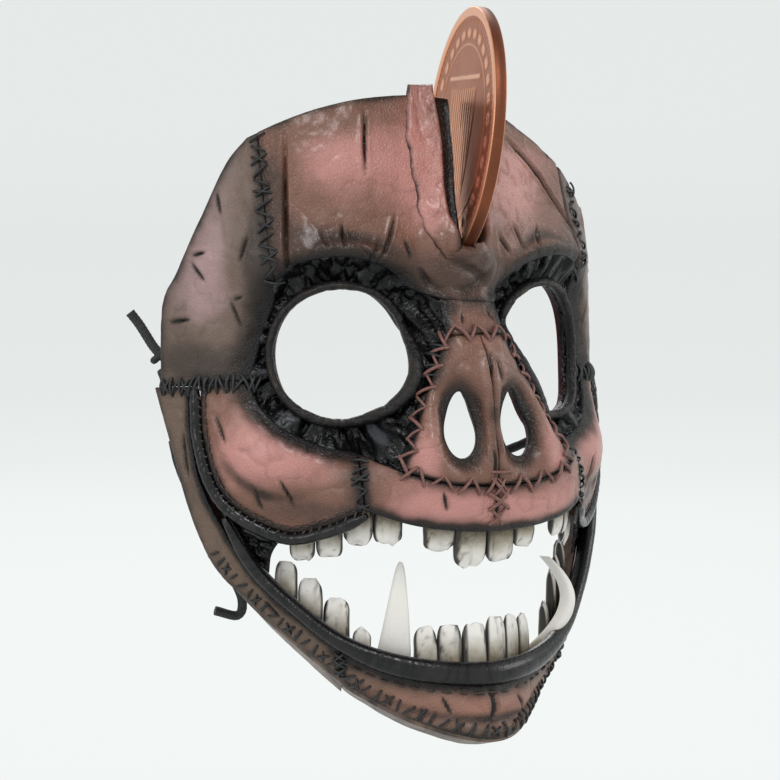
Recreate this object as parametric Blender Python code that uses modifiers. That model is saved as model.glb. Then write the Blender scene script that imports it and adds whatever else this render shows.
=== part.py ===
"""Full-face monster mask: sewn leather panels, leather teeth, two elastics and a coin in a slot.

The mask faces -Y, +X is the wearer's left and +Z is up. The origin is midway between the two eye holes.
Every panel is drawn flat on a chart of the face and then formed over one master surface.
A chart point is (across, height) in millimetres: across is the arc from the mid-line, at CHART_RADIUS.
"""

import bpy
import bmesh
import math
from mathutils import Vector

MM = 0.001

# ---- Driving dimensions, in millimetres ----
CHART_RADIUS = 80.0
AXIS_BEHIND_EYES = 70.0
LEATHER = 3.0
TRIM_LEATHER = 2.0
SEAM_GAP = 0.5
LAYER_GAP = 0.95

# Height, half-width, depth in front of the axis, and squareness of the head's section there.
SECTIONS = [
    (80, 69, 62.5, 2.2),
    (60, 74.5, 71.5, 2.2),
    (30, 80, 78.5, 2.2),
    (0, 82, 79.5, 2.1),
    (-20, 83, 82, 2.0),
    (-45, 81, 88, 2.0),
    (-65, 76, 92, 2.0),
    (-92, 67, 93, 2.0),
    (-110, 52, 92, 2.0),
    (-124, 44, 90, 2.0),
]
SECTION_SOFTNESS = 7.0

# Height, how far the nose and muzzle stand out, and their half-width.
NOSE_RELIEF = [
    (48, 0.0, 11),
    (33, 5.0, 11),
    (22, 5.0, 12),
    (14, 6.0, 12),
    (4, 13.0, 15),
    (-10, 18.0, 22),
    (-25, 18.0, 30),
    (-35, 16.5, 36),
    (-46, 13.5, 38),
    (-55, 8.0, 38),
    (-66, 0.0, 38),
]
NOSE_SQUARENESS = 5.0
CHIN_RELIEF = [(-84, 0.0, 16), (-98, 3.0, 17), (-110, 9.0, 19), (-124, 12.0, 20)]
CHIN_SQUARENESS = 2.0

CHEEK_BULGE = dict(across=55, height=-31, wide=19, tall=15, out=6.0)
BROW_BULGE = dict(across=38, height=28, wide=24, tall=7, out=4.0)

EYE = (37.4, -1.0)
EYE_WIDE = 19.8
EYE_TALL = 19.0
RIM_WIDTH = 3.8
SOCKET_DEPTH = 4.0
SOCKET_EDGE = (23.0, 33.0)
NOSTRIL = (7.9, -21.0)
NOSTRIL_WIDE = 4.3
NOSTRIL_TALL = 9.3
NOSTRIL_DISH = 4.0

# Chart lines of the right half, as distances from the mid-line; the left half mirrors them.
TEMPLE_SEAM = [(56.5, 19), (60.7, 45), (64.2, 64)]
BROW_LINE = [(8.4, 14), (13.3, 16.5), (25.1, 24.5), (37.7, 27.5), (50.3, 25), (56.5, 19)]
SOCKET_SIDE = [(56.5, 19), (60.7, 5), (64.2, -8)]
CHEEK_TOP = [(64.2, -8), (60.7, -16), (53.7, -22), (43.3, -27), (33.5, -29)]
NOSE_SIDE = [(23.7, -34), (19.5, -22), (15.1, -9.6), (9.2, 5)]
NOSE_FOOT = [(0, -39), (12, -38), (23.7, -34)]
MUZZLE_END = [(32.1, -46), (33.5, -29)]
MUZZLE_LIP = [(0, -53), (18.1, -51), (32.1, -46)]
CHEEK_LIP = [(79.6, -10.2), (78.2, -25), (73.3, -40), (65.6, -48), (52.3, -53.5), (41, -51), (32.1, -46)]
TEMPLE_BACK = [(93.5, -9.5), (93.5, 13), (88, 23.4), (80.5, 40), (74, 55), (67.7, 64)]
# The left temple is cut lower, so its back edge meets the top edge at these distances.
LEFT_TEMPLE_TOP = (73.0, 68.4)
JAW_BACK = [(95.8, -11.6), (90, -27.6), (78.7, -61), (65, -75), (49.5, -87.5), (37.7, -97)]
JAW_LIP = [(83.6, -11), (82, -26), (77.5, -43), (64, -65.5), (52, -77), (37.7, -88)]
CHIN_LIP = [(0, -97.5), (20.9, -95), (37.7, -88)]
CHIN_HEM = [(0, -114), (16.8, -109.5), (33.5, -100.5), (37.7, -97)]
LIP_START = (70.3, -55.6)
WEB_TOP = [(65.0, -54.9), (61.0, -56.8), (56.5, -58.2)]
WEB_FOOT = [(64.0, -56.3), (61.6, -60.0), (59.6, -63.0)]
TRIM_WIDTH = 3.0
LIP_BAND = 4.2

TOP_EDGE = 76.0
TOP_EDGE_PEAK = -14.0
TOP_EDGE_FALL = 0.0045

# Height, and the slot's middle and half-width there.
SLOT_LINE = [(20, 0.5, 2.7), (34, 1.5, 2.9), (44, 3.2, 4.1), (64, 7.3, 6.2), (76, 10.4, 8.6)]
SLOT_FOOT = 28.0
LIP_STRIP = 7.0

COIN_RADIUS = 38.1
COIN_THICK = 3.8
COIN_RIM = 2.6
COIN_DISH = 0.5
COIN_CENTRE = (8.6, 2.0, 64.5)
COIN_YAW = 16.0
COIN_LEAN = 6.0

TOOTH_ROOT = 7.0
TOOTH_THICK = 2.6
TUSK_BASE = 10.0
TUSK_TALL = 33.0

CORD_RADIUS = 1.5
CORD_STEP = 5.0
CORD_HOLE = 2.3
KNOT_RADIUS = 3.4
UPPER_HOLE = (88.5, -3.0)
LOWER_HOLE = (87.0, -25.0)


# ---- The master surface ----
def table_value(table, height, column):
    """Straight interpolation in a table whose heights fall or rise."""
    rows = sorted(table)
    if height <= rows[0][0]:
        return rows[0][column]
    for low, high in zip(rows, rows[1:]):
        if height <= high[0]:
            share = (height - low[0]) / (high[0] - low[0])
            return low[column] + share * (high[column] - low[column])
    return rows[-1][column]


def soft_value(table, height, column, softness=SECTION_SOFTNESS):
    """The table's value, averaged over a short stretch so that no crease is left."""
    steps = (-1.0, -0.5, 0.0, 0.5, 1.0)
    return sum(table_value(table, height + softness * k, column) for k in steps) / len(steps)


def smooth_step(low, high, value):
    share = min(max((value - low) / (high - low), 0.0), 1.0)
    return share * share * (3 - 2 * share)


def hump(across, height, shape):
    far = ((abs(across) - shape["across"]) / shape["wide"]) ** 2
    far += ((height - shape["height"]) / shape["tall"]) ** 2
    return shape["out"] * math.exp(-far)


def ridge(across, height, table, squareness):
    """A relief along the mid-line that falls away to each side."""
    out = soft_value(table, height, 1, 4.0)
    wide = soft_value(table, height, 2, 4.0)
    return out * math.exp(-((abs(across) / wide) ** squareness))


def relief(across, height):
    nose = ridge(across, height, NOSE_RELIEF, NOSE_SQUARENESS) * smooth_step(-68, -56, height)
    chin = ridge(across, height, CHIN_RELIEF, CHIN_SQUARENESS) * smooth_step(-76, -92, height)
    cheek = hump(across, height, CHEEK_BULGE) * smooth_step(-70, -54, height)
    brow = hump(across, height, BROW_BULGE)
    eye = math.hypot(abs(across) - EYE[0], height - EYE[1])
    socket = SOCKET_DEPTH * (1 - smooth_step(*SOCKET_EDGE, eye))
    nostril = math.hypot((abs(across) - NOSTRIL[0]) / 6.5, (height - NOSTRIL[1]) / 12.0)
    dish = NOSTRIL_DISH * (1 - smooth_step(0.5, 1.4, nostril))
    return nose + chin + cheek + brow - socket - dish


def outer_point(across, height):
    turn = across / CHART_RADIUS
    half_width = soft_value(SECTIONS, height, 1)
    depth = soft_value(SECTIONS, height, 2)
    square = soft_value(SECTIONS, height, 3)
    spread = (abs(math.sin(turn)) / half_width) ** square + (abs(math.cos(turn)) / depth) ** square
    radius = spread ** (-1 / square) + relief(across, height)
    return Vector((radius * math.sin(turn), AXIS_BEHIND_EYES - radius * math.cos(turn), height))


def outward(across, height):
    step = 0.5
    sideways = outer_point(across + step, height) - outer_point(across - step, height)
    upward = outer_point(across, height + step) - outer_point(across, height - step)
    return sideways.cross(upward).normalized()


def face_point(across, height, lift=0.0):
    """A point that stands `lift` proud of the master surface, in millimetres."""
    return outer_point(across, height) + outward(across, height) * lift


# ---- Chart lines ----
def smooth_line(points):
    """A function of 0..1 that follows a soft curve through chart points."""
    points = [Vector(p) for p in points]
    ends = [2 * points[0] - points[1]] + points + [2 * points[-1] - points[-2]]
    lengths = [0.0]
    for a, b in zip(points, points[1:]):
        lengths.append(lengths[-1] + (b - a).length)

    def at(share):
        along = min(max(share, 0.0), 1.0) * lengths[-1]
        i = max(k for k in range(len(points) - 1) if k == 0 or lengths[k] <= along)
        t = (along - lengths[i]) / (lengths[i + 1] - lengths[i])
        a, b, c, d = ends[i : i + 4]
        return 0.5 * (
            2 * b
            + (c - a) * t
            + (2 * a - 5 * b + 4 * c - d) * t * t
            + (3 * b - a - 3 * c + d) * t * t * t
        )

    return at


def mirrored(points):
    return [(-p[0], *p[1:]) for p in points]


def on_side(points, side):
    return points if side > 0 else mirrored(points)


def across_face(points):
    """A line from the mid-line outwards, carried on to the other side: right end to left end."""
    return mirrored(points)[:0:-1] + list(points)


def shifted(points, distance):
    """The same chart line, moved sideways to its left by a distance."""
    moved = []
    for i, here in enumerate(points):
        before, after = points[max(i - 1, 0)], points[min(i + 1, len(points) - 1)]
        along = Vector((after[0] - before[0], after[1] - before[1])).normalized()
        moved.append((here[0] - along.y * distance, here[1] + along.x * distance))
    return moved


def top_height(across):
    return TOP_EDGE - TOP_EDGE_FALL * (across - TOP_EDGE_PEAK) ** 2


def slot_edge(height, side):
    """Where the slot's right (-1) or left (1) edge crosses a height; its middle is side 0."""
    return soft_value(SLOT_LINE, height, 1, 4.0) + side * soft_value(SLOT_LINE, height, 2, 4.0)


# ---- Making solids ----
def material(name, colour, roughness, metallic=0.0):
    made = bpy.data.materials.new(name)
    made.use_nodes = True
    shader = made.node_tree.nodes["Principled BSDF"]
    shader.inputs["Base Color"].default_value = (*colour, 1)
    shader.inputs["Roughness"].default_value = roughness
    shader.inputs["Metallic"].default_value = metallic
    return made


def add_object(name, bm, finish, collection):
    bmesh.ops.recalc_face_normals(bm, faces=bm.faces)
    if bm.calc_volume(signed=True) < 0:
        bmesh.ops.reverse_faces(bm, faces=bm.faces)
    mesh = bpy.data.meshes.new(name)
    bm.to_mesh(mesh)
    bm.free()
    mesh.materials.append(finish)
    mesh.shade_smooth()
    mesh.set_sharp_from_angle(angle=math.radians(40))
    made = bpy.data.objects.new(name, mesh)
    collection.objects.link(made)
    return made


def flat_sheet(columns, rows):
    """A flat sheet on the unit square, one unit thick, that is formed later: z 0 is its outer face."""
    bm = bmesh.new()
    bmesh.ops.create_grid(bm, x_segments=columns, y_segments=rows, size=0.5)
    bmesh.ops.translate(bm, vec=(0.5, 0.5, 0), verts=bm.verts)
    return bm


def thicken(bm):
    back = bmesh.ops.extrude_face_region(bm, geom=bm.faces[:], use_keep_orig=True)["geom"]
    verts = [v for v in back if isinstance(v, bmesh.types.BMVert)]
    bmesh.ops.translate(bm, vec=(0, 0, 1), verts=verts)


def form(bm, place):
    """Moves each vertex of a thickened sheet to place(s, t, layer), given in millimetres."""
    for v in bm.verts:
        v.co = place(v.co.x, v.co.y, v.co.z) * MM


def inset_share(share, length, gap=SEAM_GAP):
    edge = gap / max(length, 4 * gap)
    return edge + share * (1 - 2 * edge)


def patch(bottom, top, left, right):
    """A chart function on the unit square that fills four lines and keeps the seam gap off each."""
    corners = [bottom(0), bottom(1), top(0), top(1)]

    def at(s, t):
        s = inset_share(s, (right(t) - left(t)).length)
        t = inset_share(t, (top(s) - bottom(s)).length)
        ruled = bottom(s) * (1 - t) + top(s) * t + left(t) * (1 - s) + right(t) * s
        low = corners[0] * (1 - s) + corners[1] * s
        high = corners[2] * (1 - s) + corners[3] * s
        plain = low * (1 - t) + high * t
        return ruled - plain

    return at


def panel(name, chart, size, finish, collection, lift=0.0, thick=LEATHER):
    bm = flat_sheet(*size)
    thicken(bm)
    form(bm, lambda s, t, layer: face_point(*chart(s, t), lift - layer * thick))
    return add_object(name, bm, finish, collection)


def ribbon(name, points, width, columns, finish, collection, lift=0.0, thick=TRIM_LEATHER, taper=0.0):
    """A strip along a chart line, with its ends narrowed by `taper`."""
    line = smooth_line(points)
    step = 0.01

    def chart(s, t):
        along = (line(s + step) - line(s - step)).normalized()
        share = 1 - taper * (abs(2 * s - 1) ** 4)
        return line(s) + Vector((-along.y, along.x)) * (t - 0.5) * width * share

    return panel(name, chart, (columns, 1), finish, collection, lift, thick)


def close_round(bm):
    """Joins the first and last columns of a formed sheet, whose end walls are taken out first."""
    flat = [f for f in bm.faces if len({round(v.co.x, 4) for v in f.verts}) == 1]
    ends = [f for f in flat if f.verts[0].co.x in (0.0, 1.0)]
    bmesh.ops.delete(bm, geom=ends, context="FACES")


def ring_panel(name, outer, inner, size, finish, collection, lift=0.0, thick=LEATHER):
    """A sheet with a hole: `outer` and `inner` are closed chart lines."""
    bm = flat_sheet(*size)
    thicken(bm)
    close_round(bm)
    form(bm, lambda s, t, layer: face_point(*outer(s).lerp(inner(s), t), lift - layer * thick))
    bmesh.ops.remove_doubles(bm, verts=bm.verts, dist=0.00001)
    return add_object(name, bm, finish, collection)


def oval(centre, wide, tall, side):
    """A closed chart line, from the top outwards."""

    def at(share):
        turn = 2 * math.pi * share
        return Vector((side * (centre[0] + wide * math.sin(turn)), centre[1] + tall * math.cos(turn)))

    return at


def loop_through(lines, counts, centre, side, gap=SEAM_GAP):
    """Corner-true points round several joined lines, drawn in by the gap; the mid-line is kept."""
    middle = Vector(centre)
    points = []
    for line, count in zip(map(smooth_line, lines), counts):
        for k in range(count):
            point = line(k / count)
            inward = (middle - point).normalized() * gap
            across = 0.0 if abs(point.x) < 0.02 else point.x + inward.x
            points.append(Vector((side * across, point.y + inward.y)))
    return lambda share: points[round(share * len(points)) % len(points)]


def oval_towards(outer, centre, wide, tall, side, point=0.0):
    """A closed oval whose points face those of an outer loop; `point` draws its top into a teardrop."""

    def at(share):
        away = outer(share) - Vector((side * centre[0], centre[1]))
        turn = math.atan2(away.x / wide, away.y / tall)
        pinch = 1 - point * (0.5 + 0.5 * math.cos(turn)) ** 2
        across = side * centre[0] + wide * pinch * math.sin(turn)
        return Vector((across, centre[1] + tall * math.cos(turn)))

    return at


# ---- The pieces ----
def forehead(finish, collection):
    bottom = smooth_line(across_face(BROW_LINE))
    end = TEMPLE_SEAM[-1][0]

    def top(s):
        across = end * (2 * s - 1)
        return Vector((across, top_height(across)))

    seam_right = smooth_line(mirrored(TEMPLE_SEAM[:-1]) + [(-end, top_height(-end))])
    seam_left = smooth_line(TEMPLE_SEAM[:-1] + [(end, top_height(end))])
    flat = patch(bottom, top, seam_right, seam_left)
    columns, rows = 24, 14
    first_open_row = 2
    bm = flat_sheet(columns, rows)
    foot = first_open_row / rows

    def on_slit(v):
        return abs(v.co.x - 0.5) < 1e-4 and v.co.y > foot - 1e-4

    bmesh.ops.split_edges(bm, edges=[e for e in bm.edges if all(map(on_slit, e.verts))])
    for v in bm.verts:
        if abs(v.co.x - 0.5) < 1e-4:
            sides = {f.calc_center_median().x > 0.5 for f in v.link_faces}
            nudge = 1e-3 if sides == {True} else -1e-3 if sides == {False} else 0.0
            v.co.x = 0.5 + nudge
    thicken(bm)

    def place(s, t, layer):
        here = flat(s, t)
        across = here.x + slot_edge(here.y, 0) * math.exp(-((here.x / 25) ** 2))
        if abs(s - 0.5) > 1e-5:
            side = 1 if s > 0.5 else -1
            spread = slot_edge(here.y, side) - slot_edge(here.y, 0)
            across += spread * math.exp(-abs(here.x) / 20) * smooth_step(foot - 0.2, foot + 0.02, t)
        return face_point(across, here.y, -layer * LEATHER)

    form(bm, place)
    return add_object("forehead_panel", bm, finish, collection)


def temple(side, word, finish, collection):
    end = TEMPLE_SEAM[-1][0]
    seam = TEMPLE_SEAM[:-1] + [(end, top_height(side * end))]
    if side > 0:
        back = TEMPLE_BACK[:-2] + [(a, top_height(a)) for a in LEFT_TEMPLE_TOP]
    else:
        back = TEMPLE_BACK[:-1] + [(TEMPLE_BACK[-1][0], top_height(-TEMPLE_BACK[-1][0]))]
    inner = smooth_line(on_side(SOCKET_SIDE[::-1] + seam[1:], side))
    outer = smooth_line(on_side(back, side))
    bottom = smooth_line(on_side([SOCKET_SIDE[-1], (80, -9), TEMPLE_BACK[0]], side))
    top = smooth_line(on_side([seam[-1], back[-1]], side))
    name = f"temple_panel_{word}"
    return panel(name, patch(bottom, top, inner, outer), (6, 12), finish, collection)


def slot_lip(side, word, finish, collection):
    beside = side * (LIP_STRIP / 2 + 0.6)
    heights = [SLOT_FOOT + 1, 40, 55, 66]
    points = [(slot_edge(h, side) + beside, h) for h in heights]
    last = slot_edge(73, side) + beside
    points.append((last, top_height(last) - 1.5))
    lift = LAYER_GAP + TRIM_LEATHER
    return ribbon(f"slot_lip_{word}", points, LIP_STRIP, 10, finish, collection, lift)


def socket(side, word, finish, collection):
    nose_root = [(9.2, 5), (8.4, 14)]
    muzzle_edge = [(33.5, -29), (28, -32), (23.7, -34)]
    lines = [BROW_LINE, SOCKET_SIDE, CHEEK_TOP, muzzle_edge, NOSE_SIDE, nose_root]
    counts = (12, 5, 8, 2, 8, 2)
    outer = loop_through(lines, counts, EYE, side, 1.8 * SEAM_GAP)
    inner = oval_towards(outer, EYE, EYE_WIDE + 0.5, EYE_TALL + 0.5, side)
    size = (sum(counts), 2)
    return ring_panel(f"eye_socket_{word}", outer, inner, size, finish, collection)


def eye_rim(side, word, finish, collection):
    outer = oval(EYE, EYE_WIDE + RIM_WIDTH, EYE_TALL + RIM_WIDTH, side)
    inner = oval(EYE, EYE_WIDE, EYE_TALL, side)
    lift = LAYER_GAP + TRIM_LEATHER
    return ring_panel(f"eye_rim_{word}", outer, inner, (32, 1), finish, collection, lift, TRIM_LEATHER)


def cheek(side, word, finish, collection):
    top = smooth_line(on_side([CHEEK_LIP[0], (72, -9), (65.4, -9.4), *CHEEK_TOP[1:]], side))
    bottom = smooth_line(on_side(CHEEK_LIP[2:], side))
    outer = smooth_line(on_side(CHEEK_LIP[2::-1], side))
    inner = smooth_line(on_side(MUZZLE_END, side))
    return panel(f"cheek_panel_{word}", patch(bottom, top, outer, inner), (12, 7), finish, collection)


def cheek_trim(side, word, finish, collection):
    distance = TRIM_WIDTH / 2 + 1.4 * SEAM_GAP
    line = shifted(CHEEK_LIP, distance)
    line[0] = (line[0][0], CHEEK_LIP[0][1] - 1.2)
    line[-1] = (CHEEK_LIP[-1][0] + 1.6, line[-1][1] - 0.6)
    name = f"cheek_trim_{word}"
    return ribbon(name, on_side(line, side), TRIM_WIDTH, 26, finish, collection, 0.0, LEATHER)


def mouth_web(side, word, finish, collection):
    top = smooth_line(on_side(WEB_TOP, side))
    bottom = smooth_line(on_side(WEB_FOOT, side))
    outer = smooth_line(on_side([WEB_FOOT[0], WEB_TOP[0]], side))
    inner = smooth_line(on_side([WEB_FOOT[-1], WEB_TOP[-1]], side))
    name = f"mouth_corner_web_{word}"
    return panel(name, patch(bottom, top, outer, inner), (6, 2), finish, collection, -1.0, TRIM_LEATHER)


def nose_bridge(finish, collection):
    top = smooth_line([(-8.4, 14), (0, 14.6), (8.4, 14)])
    bottom = smooth_line([(-9.2, 5), (0, 5.4), (9.2, 5)])
    left = smooth_line([(-9.2, 5), (-8.4, 14)])
    right = smooth_line([(9.2, 5), (8.4, 14)])
    return panel("nose_bridge_panel", patch(bottom, top, left, right), (6, 3), finish, collection)


def nose_half(bm, side):
    """One half of the nose panel, with its nostril; its wall on the mid-line is left out."""
    lines = [[(0, 5.4), (9.2, 5)], NOSE_SIDE[::-1], NOSE_FOOT[::-1], [(0, -39), (0, 5.4)]]
    counts = (3, 9, 5, 9)
    outer = loop_through(lines, counts, NOSTRIL, side)
    inner = oval_towards(outer, NOSTRIL, NOSTRIL_WIDE, NOSTRIL_TALL, side, point=0.45)
    half = flat_sheet(sum(counts), 2)
    thicken(half)
    close_round(half)
    form(half, lambda s, t, layer: face_point(*outer(s).lerp(inner(s), t), -layer * LEATHER))
    bmesh.ops.remove_doubles(half, verts=half.verts, dist=0.00001)
    middle = [f for f in half.faces if all(abs(v.co.x) < 0.00002 for v in f.verts)]
    bmesh.ops.delete(half, geom=middle, context="FACES")
    if side < 0:
        bmesh.ops.reverse_faces(half, faces=half.faces)
    mesh = bpy.data.meshes.new("nose_half")
    half.to_mesh(mesh)
    half.free()
    bm.from_mesh(mesh)
    bpy.data.meshes.remove(mesh)


def nose(finish, collection):
    bm = bmesh.new()
    nose_half(bm, 1)
    nose_half(bm, -1)
    bmesh.ops.remove_doubles(bm, verts=bm.verts, dist=0.00004)
    return add_object("nose_panel", bm, finish, collection)


def muzzle(finish, collection):
    top = smooth_line(across_face([NOSE_FOOT[0], NOSE_FOOT[1], NOSE_FOOT[2], (33.5, -29)]))
    bottom = smooth_line(across_face(MUZZLE_LIP))
    left = smooth_line(mirrored(MUZZLE_END))
    right = smooth_line(MUZZLE_END)
    return panel("muzzle_panel", patch(bottom, top, left, right), (24, 5), finish, collection)


def jaw(side, word, finish, collection):
    start = smooth_line(on_side([JAW_BACK[0], JAW_LIP[0]], side))
    end = smooth_line(on_side([JAW_BACK[-1], JAW_LIP[-1]], side))
    back = smooth_line(on_side(JAW_BACK, side))
    lip = smooth_line(on_side(JAW_LIP, side))
    return panel(f"jaw_panel_{word}", patch(back, lip, start, end), (20, 3), finish, collection)


def chin(finish, collection):
    top = smooth_line(across_face(CHIN_LIP))
    bottom = smooth_line(across_face(CHIN_HEM))
    left = smooth_line(mirrored([CHIN_HEM[-1], CHIN_LIP[-1]]))
    right = smooth_line([CHIN_HEM[-1], CHIN_LIP[-1]])
    return panel("chin_panel", patch(bottom, top, left, right), (20, 4), finish, collection)


def lower_lip(finish, collection):
    half = CHIN_LIP[:-1] + JAW_LIP[:2:-1] + [LIP_START]
    line = shifted(across_face(half), LIP_BAND / 2 + SEAM_GAP)
    return ribbon("lower_lip_band", line, LIP_BAND, 44, finish, collection, 1.0, LEATHER + 1.0, 0.6)


def hem_strip(name, points, columns, finish, collection):
    """A strip sewn under a lower edge, which runs inwards and slightly down from it."""
    line = smooth_line(points)
    reach, drop, down = 8.0, 3.0, 0.5

    def place(s, t, layer):
        here = line(inset_share(s, 60))
        edge = outer_point(*here)
        inward = Vector((0, AXIS_BEHIND_EYES, edge.z)) - edge
        low = Vector((0, 0, -down - drop * t - layer * TRIM_LEATHER))
        return edge + inward.normalized() * (1.3 + reach * t) + low

    bm = flat_sheet(columns, 1)
    thicken(bm)
    form(bm, place)
    return add_object(name, bm, finish, collection)


def hang(across, height, edge_height, back):
    """A point straight above or below a mouth edge, `back` behind its outer face."""
    at_edge = outer_point(across, edge_height)
    inward = Vector((0, AXIS_BEHIND_EYES, edge_height)) - at_edge
    place = at_edge + inward.normalized() * back
    return Vector((place.x, place.y, height))


def height_on(points, across):
    """The height of a chart line where it passes a distance from the mid-line."""
    rows = sorted((abs(p[0]), p[1]) for p in points)
    return table_value([(a, h) for a, h in rows], abs(across), 1)


def teeth_strip(name, span, edges, edge_line, back, finish, collection):
    """A strip of leather teeth: `edges` is how far its free edge hangs past the mouth edge."""
    columns = len(edges) - 1
    root = -TOOTH_ROOT if edges[0] > 0 else TOOTH_ROOT

    def place(s, t, layer):
        across = span[0] + (span[1] - span[0]) * s
        edge = height_on(edge_line, across)
        free = edges[min(int(round(s * columns)), columns)]
        height = edge + root * (1 - t) + free * t
        return hang(across, height, edge, back + layer * TOOTH_THICK)

    bm = flat_sheet(columns, 2)
    thicken(bm)
    form(bm, place)
    return add_object(name, bm, finish, collection)


def scallops(count, tall, dip, per_tooth=3):
    """The free edge of a row of teeth: each tooth is tall at its middle and lower at its gaps."""
    edge = []
    for _ in range(count):
        edge += [tall - dip] + [tall] * (per_tooth - 1)
    return edge + [tall - dip]


def tusk(side, word, finish, collection):
    line = CHIN_LIP + JAW_LIP[:1:-1]
    centre = 22.5 if side < 0 else 31.0

    def place(s, t, layer):
        width = TUSK_BASE * (1 - t) ** 0.8 + 2.0 * t
        bow = math.sin(math.pi * t)
        across = centre + (s - 0.5) * width + 5.0 * bow
        edge = height_on(line, centre)
        here = hang(side * across, edge - 5 + (TUSK_TALL + 5) * t, edge, 7.0 + layer * 3.0)
        return here + Vector((0, -6.0 * bow - 2.0 * t, 0))

    bm = flat_sheet(3, 9)
    thicken(bm)
    form(bm, place)
    return add_object(f"tusk_{word}", bm, finish, collection)


def coin(finish, collection):
    """A turned disc with a raised rim on both faces, stood on edge on the slot's line."""
    half, inner = COIN_THICK / 2, COIN_RADIUS - COIN_RIM
    profile = [
        (0, half - COIN_DISH),
        (inner - 0.4, half - COIN_DISH),
        (inner, half),
        (COIN_RADIUS - 0.4, half),
        (COIN_RADIUS, half - 0.4),
    ]
    profile += [(r, -h) for r, h in reversed(profile)]
    bm = bmesh.new()
    verts = [bm.verts.new((r * MM, 0, h * MM)) for r, h in profile]
    for a, b in zip(verts, verts[1:]):
        bm.edges.new((a, b))
    mesh = bpy.data.meshes.new("coin")
    bm.to_mesh(mesh)
    bm.free()
    mesh.materials.append(finish)
    made = bpy.data.objects.new("coin", mesh)
    collection.objects.link(made)
    turn = made.modifiers.new("turned", "SCREW")
    turn.steps = turn.render_steps = 48
    turn.use_merge_vertices = True
    turn.merge_threshold = 0.0001
    turn.use_smooth_shade = True
    turn.use_normal_calculate = True
    made.rotation_euler = (0, math.radians(90 + COIN_LEAN), math.radians(-COIN_YAW))
    made.location = Vector(COIN_CENTRE) * MM
    return made


def tube(name, points, radius, finish, collection):
    """A round cord on a smooth curve through route points given in millimetres."""
    line = smooth_line(points)
    length = sum((Vector(b) - Vector(a)).length for a, b in zip(points, points[1:]))
    count = max(4, round(length / CORD_STEP))
    curve = bpy.data.curves.new(name, "CURVE")
    curve.dimensions = "3D"
    curve.bevel_depth = radius * MM
    curve.bevel_resolution = 2
    curve.use_fill_caps = True
    spline = curve.splines.new("POLY")
    spline.points.add(count)
    for k, point in enumerate(spline.points):
        point.co = (*(line(k / count) * MM), 1)
    curve.materials.append(finish)
    made = bpy.data.objects.new(name, curve)
    collection.objects.link(made)
    return made


def knot(name, centre, finish, collection):
    bm = bmesh.new()
    bmesh.ops.create_uvsphere(bm, u_segments=10, v_segments=7, radius=KNOT_RADIUS * MM)
    bmesh.ops.scale(bm, vec=(1, 1, 1.15), verts=bm.verts)
    bmesh.ops.translate(bm, vec=Vector(centre) * MM, verts=bm.verts)
    return add_object(name, bm, finish, collection)


def punch(panel_object, across, height, cutters):
    """A round hole through a panel, for a cord."""
    centre = face_point(across, height, -LEATHER / 2)
    bpy.ops.mesh.primitive_cylinder_add(
        vertices=12, radius=CORD_HOLE * MM, depth=4 * LEATHER * MM, location=centre * MM
    )
    cutter = bpy.context.object
    cutter.name = f"cord_hole_cutter_{panel_object.name}"
    cutter.rotation_euler = outward(across, height).to_track_quat("Z", "Y").to_euler()
    for owner in list(cutter.users_collection):
        owner.objects.unlink(cutter)
    cutters.objects.link(cutter)
    cutter.hide_render = True
    cutter.display_type = "WIRE"
    cut = panel_object.modifiers.new("cord hole", "BOOLEAN")
    cut.object = cutter
    cut.solver = "EXACT"


# Each elastic hangs behind the mask: its right half, its lowest point and its left half.
UPPER_RIGHT = [
    (-70.5, 47.6, -7.2),
    (-67.5, 49.6, -13),
    (-64.5, 51.5, -21),
    (-58, 53.5, -30),
    (-46, 55.5, -37),
    (-25, 57.5, -42),
]
UPPER_LEFT = [
    (27, 57.5, -42.5),
    (52, 55, -38),
    (68, 51, -31.5),
    (74.5, 47, -22.5),
    (76.4, 44.6, -13),
    (76.8, 43.6, -7.2),
]
LOWER_RIGHT = [
    (-65.0, 45.2, -29.8),
    (-62.0, 46.2, -35),
    (-55, 47.4, -39.5),
    (-42, 48.6, -44),
    (-22, 49.5, -48),
]
LOWER_LEFT = [
    (22, 49.5, -48),
    (43, 48, -44),
    (62, 45.0, -39.5),
    (71, 43.4, -34),
    (73.4, 42.8, -29.8),
]
UPPER_LOW_POINT = (0, 58.5, -44)
LOWER_LOW_POINT = (0, 50, -49)
UPPER_KNOTS = [(-71.5, 46.0, -2.5), (77.0, 43.0, -2.5)]
LOWER_KNOTS = [(-66.5, 44.0, -25.2), (74.0, 42.0, -25.2)]
UPPER_TAILS = [
    [(-72.6, 49.4, 0.4), (-73.8, 51.3, 3.4), (-75.2, 53.4, 6.8), (-77.6, 54.8, 10.4)],
    [(78.0, 46.4, 0.4), (78.6, 48.3, 3.0), (79.0, 50.6, 5.0)],
]
LOWER_TAILS = [
    [
        (-66.4, 48.4, -28.6),
        (-63.5, 49.8, -37),
        (-56.5, 50, -52),
        (-47.5, 50, -68),
        (-42.4, 50, -78),
        (-43.0, 51, -83.6),
        (-50, 53, -82),
    ],
    [(75.0, 45.2, -28.4), (75.6, 46.2, -36), (75.4, 45.4, -52), (74.2, 44.2, -68), (76.0, 44.4, -81)],
]


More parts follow.
